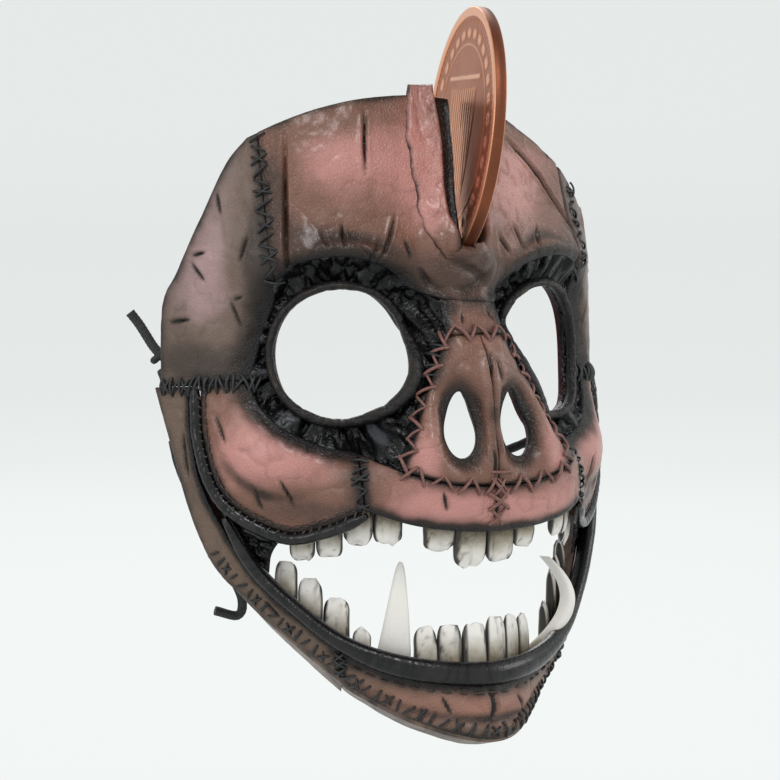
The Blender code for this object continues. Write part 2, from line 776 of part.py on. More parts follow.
def cords(finish, collection):
    for level, right, low, left, knots, tails in (
        ("upper", UPPER_RIGHT, UPPER_LOW_POINT, UPPER_LEFT, UPPER_KNOTS, UPPER_TAILS),
        ("lower", LOWER_RIGHT, LOWER_LOW_POINT, LOWER_LEFT, LOWER_KNOTS, LOWER_TAILS),
    ):
        tube(f"elastic_cord_{level}", right + [low] + left, CORD_RADIUS, finish, collection)
        for word, centre, tail in zip(("right", "left"), knots, tails):
            knot(f"{level}_cord_knot_{word}", centre, finish, collection)
            tube(f"{level}_cord_tail_{word}", tail, CORD_RADIUS, finish, collection)


def main():
    for old in list(bpy.data.objects):
        bpy.data.objects.remove(old, do_unlink=True)
    parts = bpy.data.collections.new("monster_mask")
    cutters = bpy.data.collections.new("cutters")
    bpy.context.scene.collection.children.link(parts)
    bpy.context.scene.collection.children.link(cutters)

    pink = material("pink_leather", (0.42, 0.21, 0.18), 0.45)
    mauve = material("mauve_leather", (0.33, 0.22, 0.20), 0.5)
    brown = material("brown_leather", (0.22, 0.13, 0.10), 0.5)
    black = material("black_leather", (0.02, 0.02, 0.022), 0.4)
    bone = material("bone_leather", (0.62, 0.58, 0.47), 0.5)
    copper = material("copper", (0.72, 0.33, 0.2), 0.3, 1.0)
    elastic = material("black_elastic", (0.015, 0.015, 0.016), 0.7)

    forehead(pink, parts)
    nose_bridge(pink, parts)
    nose(pink, parts)
    muzzle(pink, parts)
    chin(brown, parts)
    lower_lip(black, parts)
    hem_strip("under_chin_strip", across_face(CHIN_HEM[:-1] + [(36.2, -99.0)]), 12, brown, parts)

    lower_line = CHIN_LIP + JAW_LIP[:1:-1]
    upper_line = MUZZLE_LIP + CHEEK_LIP[:2:-1]
    incisors = [-6, -8, -9, -6, -10, -12, -11, -10.5, -11, -12, -10, -6, -9, -8, -6]
    teeth_strip("upper_incisors", (-16.5, 16.5), incisors, upper_line, 4.0, bone, parts)
    teeth_strip("lower_incisors", (-17.0, 25.0), scallops(6, 15.5, 1.5), lower_line, 6.0, bone, parts)
    coin(copper, parts)

    for side, word in ((-1, "right"), (1, "left")):
        temple_panel = temple(side, word, mauve, parts)
        punch(temple_panel, side * UPPER_HOLE[0], UPPER_HOLE[1], cutters)
        slot_lip(side, word, pink, parts)
        socket(side, word, black, parts)
        eye_rim(side, word, brown, parts)
        cheek(side, word, pink, parts)
        cheek_trim(side, word, black, parts)
        mouth_web(side, word, black, parts)
        jaw_panel = jaw(side, word, brown, parts)
        punch(jaw_panel, side * LOWER_HOLE[0], LOWER_HOLE[1], cutters)
        hem = [JAW_BACK[2], JAW_BACK[3], JAW_BACK[4], (39.2, -96.4)]
        hem_strip(f"under_jaw_strip_{word}", on_side(hem, side), 10, brown, parts)
        uppers = (side * 22.0, side * 51.0)
        edge = scallops(4, -8.0, -1.2)
        teeth_strip(f"upper_molars_{word}", uppers, edge, upper_line, 4.6, bone, parts)
        molars = (-57.0, -36.0) if side < 0 else (42.5, 60.0)
        edge = scallops(3, 12.5, 1.5)
        teeth_strip(f"lower_molars_{word}", molars, edge, lower_line, 6.0, bone, parts)
        premolar = (-34.0, -29.0) if side < 0 else (37.0, 41.5)
        edge = scallops(1, 6.5, 1.0)
        teeth_strip(f"lower_premolar_{word}", premolar, edge, lower_line, 6.0, bone, parts)
        tusk(side, word, bone, parts)
    cords(elastic, parts)


main()
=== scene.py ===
"""A hand-sewn leather monster mask with a coin in its forehead: the visual model over the CAD frame.

The mask faces -Y, +X is the wearer's left and +Z is up. Every leather piece is drawn on a chart of the face:
a chart point is (across, height) in millimetres, and the master surface below turns it into a place.
"""

import math

import bpy
import numpy as np
from mathutils import Euler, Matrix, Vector


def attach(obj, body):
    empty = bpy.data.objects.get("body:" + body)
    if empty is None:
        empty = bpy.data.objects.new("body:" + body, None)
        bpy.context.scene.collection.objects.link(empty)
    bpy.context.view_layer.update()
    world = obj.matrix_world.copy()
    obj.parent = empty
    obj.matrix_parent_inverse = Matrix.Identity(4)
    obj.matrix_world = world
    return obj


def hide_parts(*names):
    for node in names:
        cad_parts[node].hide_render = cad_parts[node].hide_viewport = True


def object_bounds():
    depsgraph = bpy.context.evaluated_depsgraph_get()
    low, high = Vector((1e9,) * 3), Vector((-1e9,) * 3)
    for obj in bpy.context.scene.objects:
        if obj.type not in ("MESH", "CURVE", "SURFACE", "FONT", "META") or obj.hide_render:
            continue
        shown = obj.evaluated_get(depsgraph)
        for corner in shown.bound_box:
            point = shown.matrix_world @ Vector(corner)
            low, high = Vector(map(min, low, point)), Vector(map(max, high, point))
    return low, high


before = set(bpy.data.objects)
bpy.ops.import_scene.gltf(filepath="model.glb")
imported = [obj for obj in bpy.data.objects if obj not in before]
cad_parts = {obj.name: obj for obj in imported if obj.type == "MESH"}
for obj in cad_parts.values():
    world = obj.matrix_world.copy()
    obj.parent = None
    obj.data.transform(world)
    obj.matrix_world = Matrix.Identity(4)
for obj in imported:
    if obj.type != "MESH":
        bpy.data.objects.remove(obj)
CAD_BOX = [list(corner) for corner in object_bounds()]

MM = 0.001

# ---- Sizes of the mask, in millimetres ----
CHART_RADIUS = 80.0
AXIS_BEHIND_EYES = 70.0
LEATHER = 3.0
SEAM_GAP = -0.25  # below zero, so that the drawn panels meet with no gap
SIDES = ((-1, "right"), (1, "left"))

# Height, half-width, depth in front of the axis, and squareness of the head's section there.
SECTIONS = [
    (80, 69, 62.5, 2.2),
    (60, 74.5, 71.5, 2.2),
    (30, 80, 78.5, 2.2),
    (0, 82, 79.5, 2.1),
    (-20, 83, 82, 2.0),
    (-45, 81, 88, 2.0),
    (-65, 76, 92, 2.0),
    (-92, 67, 93, 2.0),
    (-110, 52, 92, 2.0),
    (-124, 44, 90, 2.0),
]
# Height, how far the nose, muzzle and chin stand out, and their half-width.
NOSE_RELIEF = [
    (48, 0.0, 11),
    (33, 5.0, 11),
    (22, 5.0, 12),
    (14, 6.0, 12),
    (4, 13.0, 15),
    (-10, 18.0, 22),
    (-25, 18.0, 30),
    (-35, 16.5, 36),
    (-46, 13.5, 38),
    (-55, 8.0, 38),
    (-66, 0.0, 38),
]
CHIN_RELIEF = [(-84, 0.0, 16), (-98, 3.0, 17), (-110, 9.0, 19), (-124, 12.0, 20)]
CHEEK_BULGE = dict(across=55, height=-31, wide=19, tall=15, out=6.0)
BROW_BULGE = dict(across=38, height=28, wide=24, tall=7, out=4.0)

EYE = (37.4, -1.0)
EYE_WIDE, EYE_TALL = 19.8, 19.0
NOSTRIL = (7.9, -21.0)
NOSTRIL_WIDE, NOSTRIL_TALL = 4.3, 9.3

TEMPLE_CORNER = 64.2
SEAM_START = (TEMPLE_CORNER, -9.2)

# Chart lines of the right half, as distances from the mid-line; the left half mirrors them.
TEMPLE_SEAM = [(56.5, 19), (60.7, 45)]
BROW_LINE = [(8.4, 14), (13.3, 16.5), (25.1, 24.5), (37.7, 27.5), (50.3, 25), (56.5, 19)]
SOCKET_SIDE = [(56.5, 19), (60.7, 5), (64.2, -8)]
CHEEK_TOP = [(64.2, -8), (60.7, -16), (53.7, -22), (43.3, -27), (33.5, -29)]
NOSE_SIDE = [(23.7, -34), (19.5, -22), (15.1, -9.6), (9.2, 5)]
NOSE_FOOT = [(0, -39), (12, -38), (23.7, -34)]
MUZZLE_END = [(32.1, -46), (33.5, -29)]
MUZZLE_LIP = [(0, -53), (18.1, -51), (32.1, -46)]
CHEEK_LIP = [(79.6, -10.2), (78.2, -25), (73.3, -40), (65.6, -48), (52.3, -53.5), (41, -51), (32.1, -46)]
TEMPLE_BACK = [(93.5, -9.5), (93.5, 13), (88, 23.4), (80.5, 40), (74, 55), (67.7, 64)]
JAW_BACK = [(95.8, -11.6), (90, -27.6), (78.7, -61), (65, -75), (49.5, -87.5), (37.7, -97)]
JAW_LIP = [(83.6, -11), (82, -26), (77.5, -43), (64, -65.5), (52, -77), (37.7, -88)]
CHIN_LIP = [(0, -97.5), (20.9, -95), (37.7, -88)]
CHIN_HEM = [(0, -114), (16.8, -109.5), (33.5, -100.5), (37.7, -97)]

# Height, and the slot's middle and half-width there.
SLOT_LINE = [(20, 0.5, 2.7), (34, 1.5, 2.9), (44, 3.2, 4.1), (64, 7.3, 6.2), (76, 10.4, 8.6)]
SLOT_FOOT = 32.5
# Height, and how far the black inner edge, a painted shadow inside the slot, reaches from the slot's right edge
# towards the coin.
SLOT_SHADOW_REACH = [(30, 0.0), (34, 0.4), (44, 2.3), (64, 3.8), (76, 5.4)]

COIN_RADIUS, COIN_THICK = 38.1, 3.8
COIN_CENTRE = (8.6, 2.0, 64.5)
COIN_YAW, COIN_LEAN = 16.0, 6.0
CORD_THICK = 3.0

STEP = 0.5
EDGE_ROLL = 1.3


def add_object(name, data):
    made = bpy.data.objects.new(name, data)
    bpy.context.scene.collection.objects.link(made)
    return made


# ---- Camera, lights and floor ----
def camera():
    """A long lens, turned a little to the wearer's right and just above the eyes."""
    azimuth, elevation, distance = math.radians(-30), math.radians(3.5), 1.0
    back = Vector(
        (
            math.sin(azimuth) * math.cos(elevation),
            -math.cos(azimuth) * math.cos(elevation),
            math.sin(elevation),
        )
    )
    right = Vector((0, 0, 1)).cross(back).normalized()
    aim = -0.0159 * right - 0.0126 * back.cross(right)
    lens = bpy.data.cameras.new("camera")
    lens.lens = 153.7
    lens.sensor_width = 36
    made = add_object("camera", lens)
    made.location = aim + back * distance
    made.rotation_euler = back.to_track_quat("Z", "Y").to_euler()
    bpy.context.scene.camera = made


def lamp(name, place, size, power, colour=(1, 1, 1)):
    light = bpy.data.lights.new(name, "AREA")
    light.size = size
    light.energy = power
    light.color = colour
    made = add_object(name, light)
    made.location = place
    made.rotation_euler = Vector(place).to_track_quat("Z", "Y").to_euler()


def studio():
    """A pale floor that sweeps up all round, one large key lamp above, and softer ones beside it."""
    rings, turns = 26, 64
    low = CAD_BOX[0][2] - 0.07
    points, faces = [], []
    for i in range(rings):
        share = i / (rings - 1)
        reach = 0.05 + 3.0 * min(share / 0.6, 1.0)
        rise = 4.0 * max(0.0, share - 0.5) ** 2 / 0.25
        for k in range(turns):
            turn = 2 * math.pi * k / turns
            points.append((reach * math.cos(turn), reach * math.sin(turn), low + rise))
    for i in range(rings - 1):
        for k in range(turns):
            a, b = i * turns + k, i * turns + (k + 1) % turns
            faces.append((a, b, b + turns, a + turns))
    faces.append(tuple(range(turns))[::-1])
    mesh = bpy.data.meshes.new("floor")
    mesh.from_pydata(points, [], faces)
    mesh.shade_smooth()
    floor = add_object("floor", mesh)
    recipe = Recipe("floor")
    recipe.shader(colour=(0.2, 0.207, 0.205, 1), roughness=0.9)
    recipe.main.inputs["Emission Color"].default_value = (0.95, 0.98, 0.97, 1)
    recipe.main.inputs["Emission Strength"].default_value = 0.65
    mesh.materials.append(recipe.material)
    lamp("key", (-0.45, -0.9, 1.35), 0.42, 10.5)
    lamp("side", (1.25, -0.6, 0.6), 0.6, 4.5)
    lamp("near side", (-1.4, -0.3, 0.5), 0.6, 4)
    lamp("back", (0.5, 1.3, 1.1), 0.8, 9)
    world = bpy.data.worlds.new("studio")
    bpy.context.scene.world = world
    world.use_nodes = True
    sky = world.node_tree.nodes["Background"]
    sky.inputs["Color"].default_value = (0.93, 0.96, 0.955, 1)
    sky.inputs["Strength"].default_value = 0.34
    bpy.context.scene.view_settings.view_transform = "Standard"


# ---- Shader expressions ----
class Wire:
    """A number that flows through a shader, written in plain arithmetic."""

    def __init__(self, recipe, socket):
        self.recipe, self.socket = recipe, socket

    def _sum(self, kind, a, b):
        return self.recipe.node("Math", dict(operation=kind), a, b)

    def __add__(self, other):
        return self._sum("ADD", self, other)

    def __sub__(self, other):
        return self._sum("SUBTRACT", self, other)

    def __rsub__(self, other):
        return self._sum("SUBTRACT", other, self)

    def __mul__(self, other):
        return self._sum("MULTIPLY", self, other)

    def __pow__(self, other):
        return self._sum("POWER", self, other)

    __radd__ = __add__
    __rmul__ = __mul__

    def between(self, low, high):
        """0 below low, 1 above high, and smooth from one to the other."""
        settings = dict(interpolation_type="SMOOTHSTEP")
        return self.recipe.node("MapRange", settings, self, low, high, 0.0, 1.0)


class Recipe:
    """One node material."""

    def __init__(self, name):
        self.material = bpy.data.materials.new(name)
        self.material.use_nodes = True
        self.tree = self.material.node_tree
        self.main = self.tree.nodes["Principled BSDF"]

    def node(self, kind, settings, *inputs, out=0, **named):
        made = self.tree.nodes.new(f"ShaderNode{kind}")
        for key, value in settings.items():
            setattr(made, key, value)
        for key, value in [*enumerate(inputs), *named.items()]:
            self.fill(made.inputs[key], value)
        return Wire(self, made.outputs[out])

    def fill(self, socket, value):
        if isinstance(value, Wire):
            self.tree.links.new(value.socket, socket)
        elif value is not None:
            socket.default_value = value

    def paint(self, name):
        """A value that the piece's own mesh carries."""
        return self.node("Attribute", dict(attribute_name=name), out="Fac")

    def space(self):
        return self.node("TexCoord", {}, out="Object")

    def noise(self, scale, detail, rough):
        return self.node("TexNoise", {}, Vector=self.space(), Scale=scale, Detail=detail, Roughness=rough)

    def cells(self, scale):
        edges = dict(feature="DISTANCE_TO_EDGE")
        return self.node("TexVoronoi", edges, Vector=self.space(), Scale=scale, out="Distance")

    def mix(self, share, a, b):
        made = self.tree.nodes.new("ShaderNodeMix")
        made.data_type = "RGBA"
        made.clamp_factor = True
        for socket, value in ((made.inputs[0], share), (made.inputs[6], a), (made.inputs[7], b)):
            self.fill(socket, value)
        return Wire(self, made.outputs[2])

    def bump(self, height, distance, strength=1.0, under=None):
        return self.node("Bump", {}, Strength=strength, Distance=distance, Height=height, Normal=under)

    def shader(self, colour, roughness, metallic=None, normal=None, coat=None, coat_rough=0.2, specular=None):
        names = {"Base Color": colour, "Roughness": roughness, "Metallic": metallic, "Normal": normal}
        for key, value in names.items():
            self.fill(self.main.inputs[key], value)
        if coat is not None:
            self.fill(self.main.inputs["Coat Weight"], coat)
            self.main.inputs["Coat Roughness"].default_value = coat_rough
        if specular is not None:
            self.main.inputs["Specular IOR Level"].default_value = specular
        return self.material


def painted_leather(name, light, middle, dark, gloss, coat):
    """Hand-painted hide: mottled paint; a dark wash that is painted shade in the folds, cuts and recesses and
    partly antiquing along the edges; paler raised spots that are partly wear and partly painted highlight.
    """
    r = Recipe(name)
    ink, blush, wear_and_highlight, inside = (r.paint(key) for key in ("ink", "blush", "wear_and_highlight", "inside"))
    cloud = r.noise(45, 5, 0.6)
    fleck = r.noise(260, 4, 0.65)
    pores = r.cells(900)
    drag = r.noise(120, 3, 0.5)
    mottle = (cloud - 0.5) * 1.1 + (fleck - 0.5) * 0.4
    # Pale pink where the tone is high and brown where it is low: partly the paint's own tones, partly painted
    # highlight and painted shade.
    colour = r.mix((blush * 1.1 + mottle).between(-0.1, 0.95), middle, light)
    # Brown patches from the random mottle and where the tone is low: partly the paint's own stains, partly
    # painted shade.
    stain = (mottle * 0.8 - blush * 1.2).between(0.15, 1.05)
    colour = r.mix(stain, colour, tuple(0.35 * c for c in middle[:3]) + (1,))
    # The dark wash: antiquing along the edges, and painted shade in folds, cuts, creases and under overhangs.
    wash = (ink * 1.15 + (drag - 0.5) * ink * 1.2 + (cloud - 0.5) * 0.25).between(0.08, 0.8)
    colour = r.mix(wash, colour, dark)
    # Near-black where the dark value is highest: painted shade in the deepest recesses.
    deep = (ink + (fleck - 0.5) * 0.3).between(0.62, 0.95)
    colour = r.mix(deep, colour, (0.006, 0.005, 0.006, 1))
    # Pale rubbed spots on what stands up: wear, and a painted highlight.
    rub_and_highlight = (wear_and_highlight * (fleck * 1.6 - 0.25)).between(0.3, 1.0) * 0.14
    colour = r.mix(rub_and_highlight, colour, (0.56, 0.44, 0.41, 1))
    colour = r.mix(inside, colour, (0.075, 0.012, 0.014, 1))
    rough = gloss + (fleck - 0.5) * 0.3 + (cloud - 0.5) * 0.15 + inside * 0.25
    grain = r.bump(pores.between(0.0, 0.25) + fleck * 0.8, 0.00022, 0.5)
    skin = r.bump(r.noise(420, 5, 0.7), 0.00035, 0.6, grain)
    shine = (1 - inside) * (1 - wash * 0.85) * coat
    return r.shader(colour, rough, normal=skin, coat=shine, coat_rough=0.22, specular=0.3)


def black_leather(name, grey, gloss, coat, grain=0.7):
    """Black-stained hide with a blue-grey bloom, paler ridges that are partly rubbed wear and partly a painted
    sheen, and painted shade in the pleats and along the edges.
    """
    r = Recipe(name)
    ink, wear_and_highlight, inside = (r.paint(key) for key in ("ink", "wear_and_highlight", "inside"))
    cloud = r.noise(90, 4, 0.6)
    fleck = r.noise(500, 4, 0.7)
    # Grey on the raised ridges: rubbed wear and a painted sheen.
    ridge = (wear_and_highlight * 1.3 + (cloud - 0.5) * 0.9 + (fleck - 0.5) * 0.4).between(0.35, 1.1)
    colour = r.mix(ridge, (0.0025, 0.0025, 0.003, 1), grey)
    # Darker where the dark value is high: painted shade in the pleats, under the rolls and along the edges.
    colour = r.mix(ink.between(0.3, 0.8), colour, (0.0015, 0.0015, 0.002, 1))
    colour = r.mix(inside, colour, (0.05, 0.009, 0.011, 1))
    rough = gloss + (fleck - 0.5) * 0.25 + inside * 0.3
    skin = r.bump(r.noise(350, 5, 0.7) + r.cells(700).between(0, 0.3) * 0.5, 0.0003, grain)
    return r.shader(colour, rough, normal=skin, coat=coat, coat_rough=0.18, specular=0.2)


def bone_leather(name):
    """Tooth-white paint over leather: ochre and olive at the roots, and painted shade dark in the gaps and
    grooves.
    """
    r = Recipe(name)
    ink, root = r.paint("ink"), r.paint("blush")
    cloud = r.noise(140, 4, 0.6)
    fleck = r.noise(900, 3, 0.7)
    ochre = (root + (cloud - 0.5) * 0.7).between(0.2, 0.9)
    colour = r.mix(ochre, (0.72, 0.69, 0.65, 1), (0.22, 0.175, 0.1, 1))
    colour = r.mix((root + (fleck - 0.5) * 0.5).between(0.6, 1.05), colour, (0.05, 0.042, 0.026, 1))
    # Painted shade in the gaps between teeth and in their grooves.
    colour = r.mix(ink.between(0.25, 0.9), colour, (0.03, 0.025, 0.02, 1))
    skin = r.bump(fleck + cloud, 0.00025, 0.5)
    return r.shader(colour, 0.5 + (fleck - 0.5) * 0.3, normal=skin, coat=0.12, coat_rough=0.3)


def thread(name, colour, shine):
    """Waxed thread with a fine twist."""
    r = Recipe(name)
    fibre = r.noise(2600, 2, 0.5)
    body = r.mix(fibre.between(0.3, 0.8), colour, tuple(c * 2.4 for c in colour[:3]) + (1,))
    return r.shader(body, shine + fibre * 0.2, normal=r.bump(fibre, 0.0001, 0.5))


def copper(name):
    """Worn copper: bright on the raised relief, brown in the hollows and on the edge."""
    r = Recipe(name)
    high = r.paint("wear_and_highlight")
    hollow = r.paint("ink")
    cloud = r.noise(60, 4, 0.6)
    scratch = r.noise(1500, 3, 0.6)
    bright = (high + (cloud - 0.5) * 0.7).between(0.1, 1.0)
    colour = r.mix(bright, (0.4, 0.125, 0.05, 1), (0.84, 0.41, 0.25, 1))
    colour = r.mix((hollow + (cloud - 0.5) * 0.5).between(0.3, 1.0), colour, (0.16, 0.055, 0.03, 1))
    rough = 0.3 + (cloud - 0.5) * 0.2 + hollow * 0.2 + (scratch - 0.5) * 0.12
    skin = r.bump(scratch, 0.00006, 0.6)
    return r.shader(colour, rough, metallic=0.93, normal=skin)


def elastic(name):
    """Braided black elastic."""
    r = Recipe(name)
    weave = r.noise(1800, 2, 0.5)
    colour = r.mix(weave.between(0.35, 0.75), (0.006, 0.006, 0.007, 1), (0.03, 0.03, 0.034, 1))
    return r.shader(colour, 0.72, normal=r.bump(weave, 0.0002, 0.7))


# ---- The master surface ----
def table_value(table, height, column):
    rows = np.array(sorted(table), float)
    return np.interp(height, rows[:, 0], rows[:, column])


def soft_value(table, height, column, softness=7.0):
    """The table's value, averaged over a short stretch so that no crease is left."""
    steps = (-1.0, -0.5, 0.0, 0.5, 1.0)
    return sum(table_value(table, height + softness * k, column) for k in steps) / len(steps)


def ease(low, high, value):
    share = np.clip((value - low) / (high - low), 0, 1)
    return share * share * (3 - 2 * share)


def hump(across, height, shape):
    far = ((np.abs(across) - shape["across"]) / shape["wide"]) ** 2
    return shape["out"] * np.exp(-far - ((height - shape["height"]) / shape["tall"]) ** 2)


def ridge(across, height, table, squareness):
    out, wide = soft_value(table, height, 1, 4.0), soft_value(table, height, 2, 4.0)
    return out * np.exp(-((np.abs(across) / wide) ** squareness))


def relief(across, height):
    nose = ridge(across, height, NOSE_RELIEF, 5.0) * ease(-68, -56, height)
    chin = ridge(across, height, CHIN_RELIEF, 2.0) * ease(-76, -92, height)
    cheek = hump(across, height, CHEEK_BULGE) * ease(-70, -54, height)
    eye = np.hypot(np.abs(across) - EYE[0], height - EYE[1])
    socket = 4.0 * (1 - ease(23.0, 33.0, eye))
    nostril = np.hypot((np.abs(across) - NOSTRIL[0]) / 6.5, (height - NOSTRIL[1]) / 12.0)
    dish = 4.0 * (1 - ease(0.5, 1.4, nostril))
    return nose + chin + cheek + hump(across, height, BROW_BULGE) - socket - dish


def outer_point(across, height):
    turn = across / CHART_RADIUS
    half_width, depth, square = (soft_value(SECTIONS, height, k) for k in (1, 2, 3))
    spread = (np.abs(np.sin(turn)) / half_width) ** square + (np.abs(np.cos(turn)) / depth) ** square
    radius = spread ** (-1 / square) + relief(across, height)
    return np.stack([radius * np.sin(turn), AXIS_BEHIND_EYES - radius * np.cos(turn), height + 0 * turn], -1)


def unit(vectors):
    return vectors / np.maximum(np.linalg.norm(vectors, axis=-1, keepdims=True), 1e-9)


def outward(across, height, step=0.5):
    sideways = outer_point(across + step, height) - outer_point(across - step, height)
    upward = outer_point(across, height + step) - outer_point(across, height - step)
    return unit(np.cross(sideways, upward))


def face_point(chart, lift=0.0):
    """Places in millimetres, `lift` proud of the master surface."""
    across, height = chart[..., 0], chart[..., 1]
    lift = np.broadcast_to(lift, across.shape)
    return outer_point(across, height) + outward(across, height) * lift[..., None]


# ---- Chart lines ----
def smooth_line(points):
    """A function of 0..1, for arrays, that follows a soft curve through points."""
    points = np.array(points, float)
    ends = np.vstack([2 * points[0] - points[1], points, 2 * points[-1] - points[-2]])
    lengths = np.concatenate([[0], np.cumsum(np.linalg.norm(np.diff(points, axis=0), axis=1))])

    def at(share):
        along = np.clip(share, 0, 1) * lengths[-1]
        i = np.clip(np.searchsorted(lengths, along, side="right") - 1, 0, len(points) - 2)
        t = ((along - lengths[i]) / (lengths[i + 1] - lengths[i]))[..., None]
        a, b, c, d = (ends[i + k] for k in range(4))
        curve = (c - a) * t + (2 * a - 5 * b + 4 * c - d) * t**2 + (3 * b - a - 3 * c + d) * t**3
        return 0.5 * (2 * b + curve)

    return at


def mirrored(points):
    return [(-p[0], *p[1:]) for p in points]


def on_side(points, side):
    return list(points) if side > 0 else mirrored(points)


def across_face(points):
    return mirrored(points)[:0:-1] + list(points)


def towards_axis(places):
    """Level directions from places on the face to the axis behind the eyes."""
    return unit(np.stack([-places[..., 0], AXIS_BEHIND_EYES - places[..., 1], 0 * places[..., 0]], -1))


def shifted(points, distance):
    """The same chart line, moved sideways to its left by a distance."""
    points = np.array(points, float)
    along = unit(np.gradient(points, axis=0))
    return points + np.stack([-along[:, 1], along[:, 0]], -1) * distance


def top_height(across):
    return 76.0 - 0.0045 * (across + 14.0) ** 2


def slot_edge(height, side):
    """Where the slot's right (-1) or left (1) edge crosses a height; its middle is side 0."""
    return soft_value(SLOT_LINE, height, 1, 4.0) + side * soft_value(SLOT_LINE, height, 2, 4.0)


def patch(bottom, top, left, right, gap=SEAM_GAP):
    """A chart function on the unit square that fills four lines and keeps the seam gap off each."""

    def at(s, t):
        wide = np.linalg.norm(right(t) - left(t), axis=-1)
        tall = np.linalg.norm(top(s) - bottom(s), axis=-1)
        s = gap / np.maximum(wide, 1.0) + s * (1 - 2 * gap / np.maximum(wide, 1.0))
        t = gap / np.maximum(tall, 1.0) + t * (1 - 2 * gap / np.maximum(tall, 1.0))
        u, v = s[..., None], t[..., None]
        zero, one = np.zeros(1), np.ones(1)
        ruled = bottom(s) * (1 - v) + top(s) * v + left(t) * (1 - u) + right(t) * u
        low = bottom(zero) * (1 - u) + bottom(one) * u
        high = top(zero) * (1 - u) + top(one) * u
        return ruled - low * (1 - v) - high * v

    return at


# ---- Surface texture of the hide, in millimetres ----
LATTICE = np.random.default_rng(11).random((6, 128, 128))


def speck(x, y, layer=0):
    """Smooth noise of 0..1 with one bump per unit."""
    xi, yi = np.floor(x).astype(int), np.floor(y).astype(int)
    fx, fy = x - xi, y - yi
    fx, fy = fx * fx * (3 - 2 * fx), fy * fy * (3 - 2 * fy)
    grid = LATTICE[layer % 6]
    low = grid[xi % 128, yi % 128] * (1 - fx) + grid[(xi + 1) % 128, yi % 128] * fx
    high = grid[xi % 128, (yi + 1) % 128] * (1 - fx) + grid[(xi + 1) % 128, (yi + 1) % 128] * fx
    return low * (1 - fy) + high * fy


def clouds(x, y, size, octaves=4, layer=0):
    total = sum(0.5**k * speck(x / size * 2**k, y / size * 2**k, layer + k) for k in range(octaves))
    return total / sum(0.5**k for k in range(octaves))


def folds(x, y, size, layer=0):
    """Sharp creases between soft swellings, 0 on the swellings and 1 in the creases."""
    bend = 6 * (clouds(x, y, size * 3, 2, layer + 1) - 0.5)
    return 1 - np.abs(2 * clouds(x + bend, y - bend, size, 3, layer) - 1) ** 0.7


def stroke(across, height, points, width):
    """(nearness 0..1 to a line drawn on the chart, taper 0..1 along it)."""
    line = smooth_line(points)(np.linspace(0, 1, 4 * len(points)))
    near, reach = np.full(across.shape, 1e9), np.zeros(across.shape)
    low, high = line.min(0) - 5 * width, line.max(0) + 5 * width
    inside = (across > low[0]) & (across < high[0]) & (height > low[1]) & (height < high[1])
    if not inside.any():
        return near, reach
    x, y = across[inside], height[inside]
    best = np.full(x.shape, 1e9)
    share = np.zeros(x.shape)
    for k, (a, b) in enumerate(zip(line, line[1:])):
        step = b - a
        t = np.clip(((x - a[0]) * step[0] + (y - a[1]) * step[1]) / max(step @ step, 1e-9), 0, 1)
        far = np.hypot(x - a[0] - t * step[0], y - a[1] - t * step[1])
        closer = far < best
        best[closer] = far[closer]
        share[closer] = ((k + t) / (len(line) - 1))[closer]
    taper = np.sin(np.pi * np.clip(share, 0.03, 0.97)) ** 0.5
    near[inside] = best / width
    reach[inside] = taper
    return near, reach


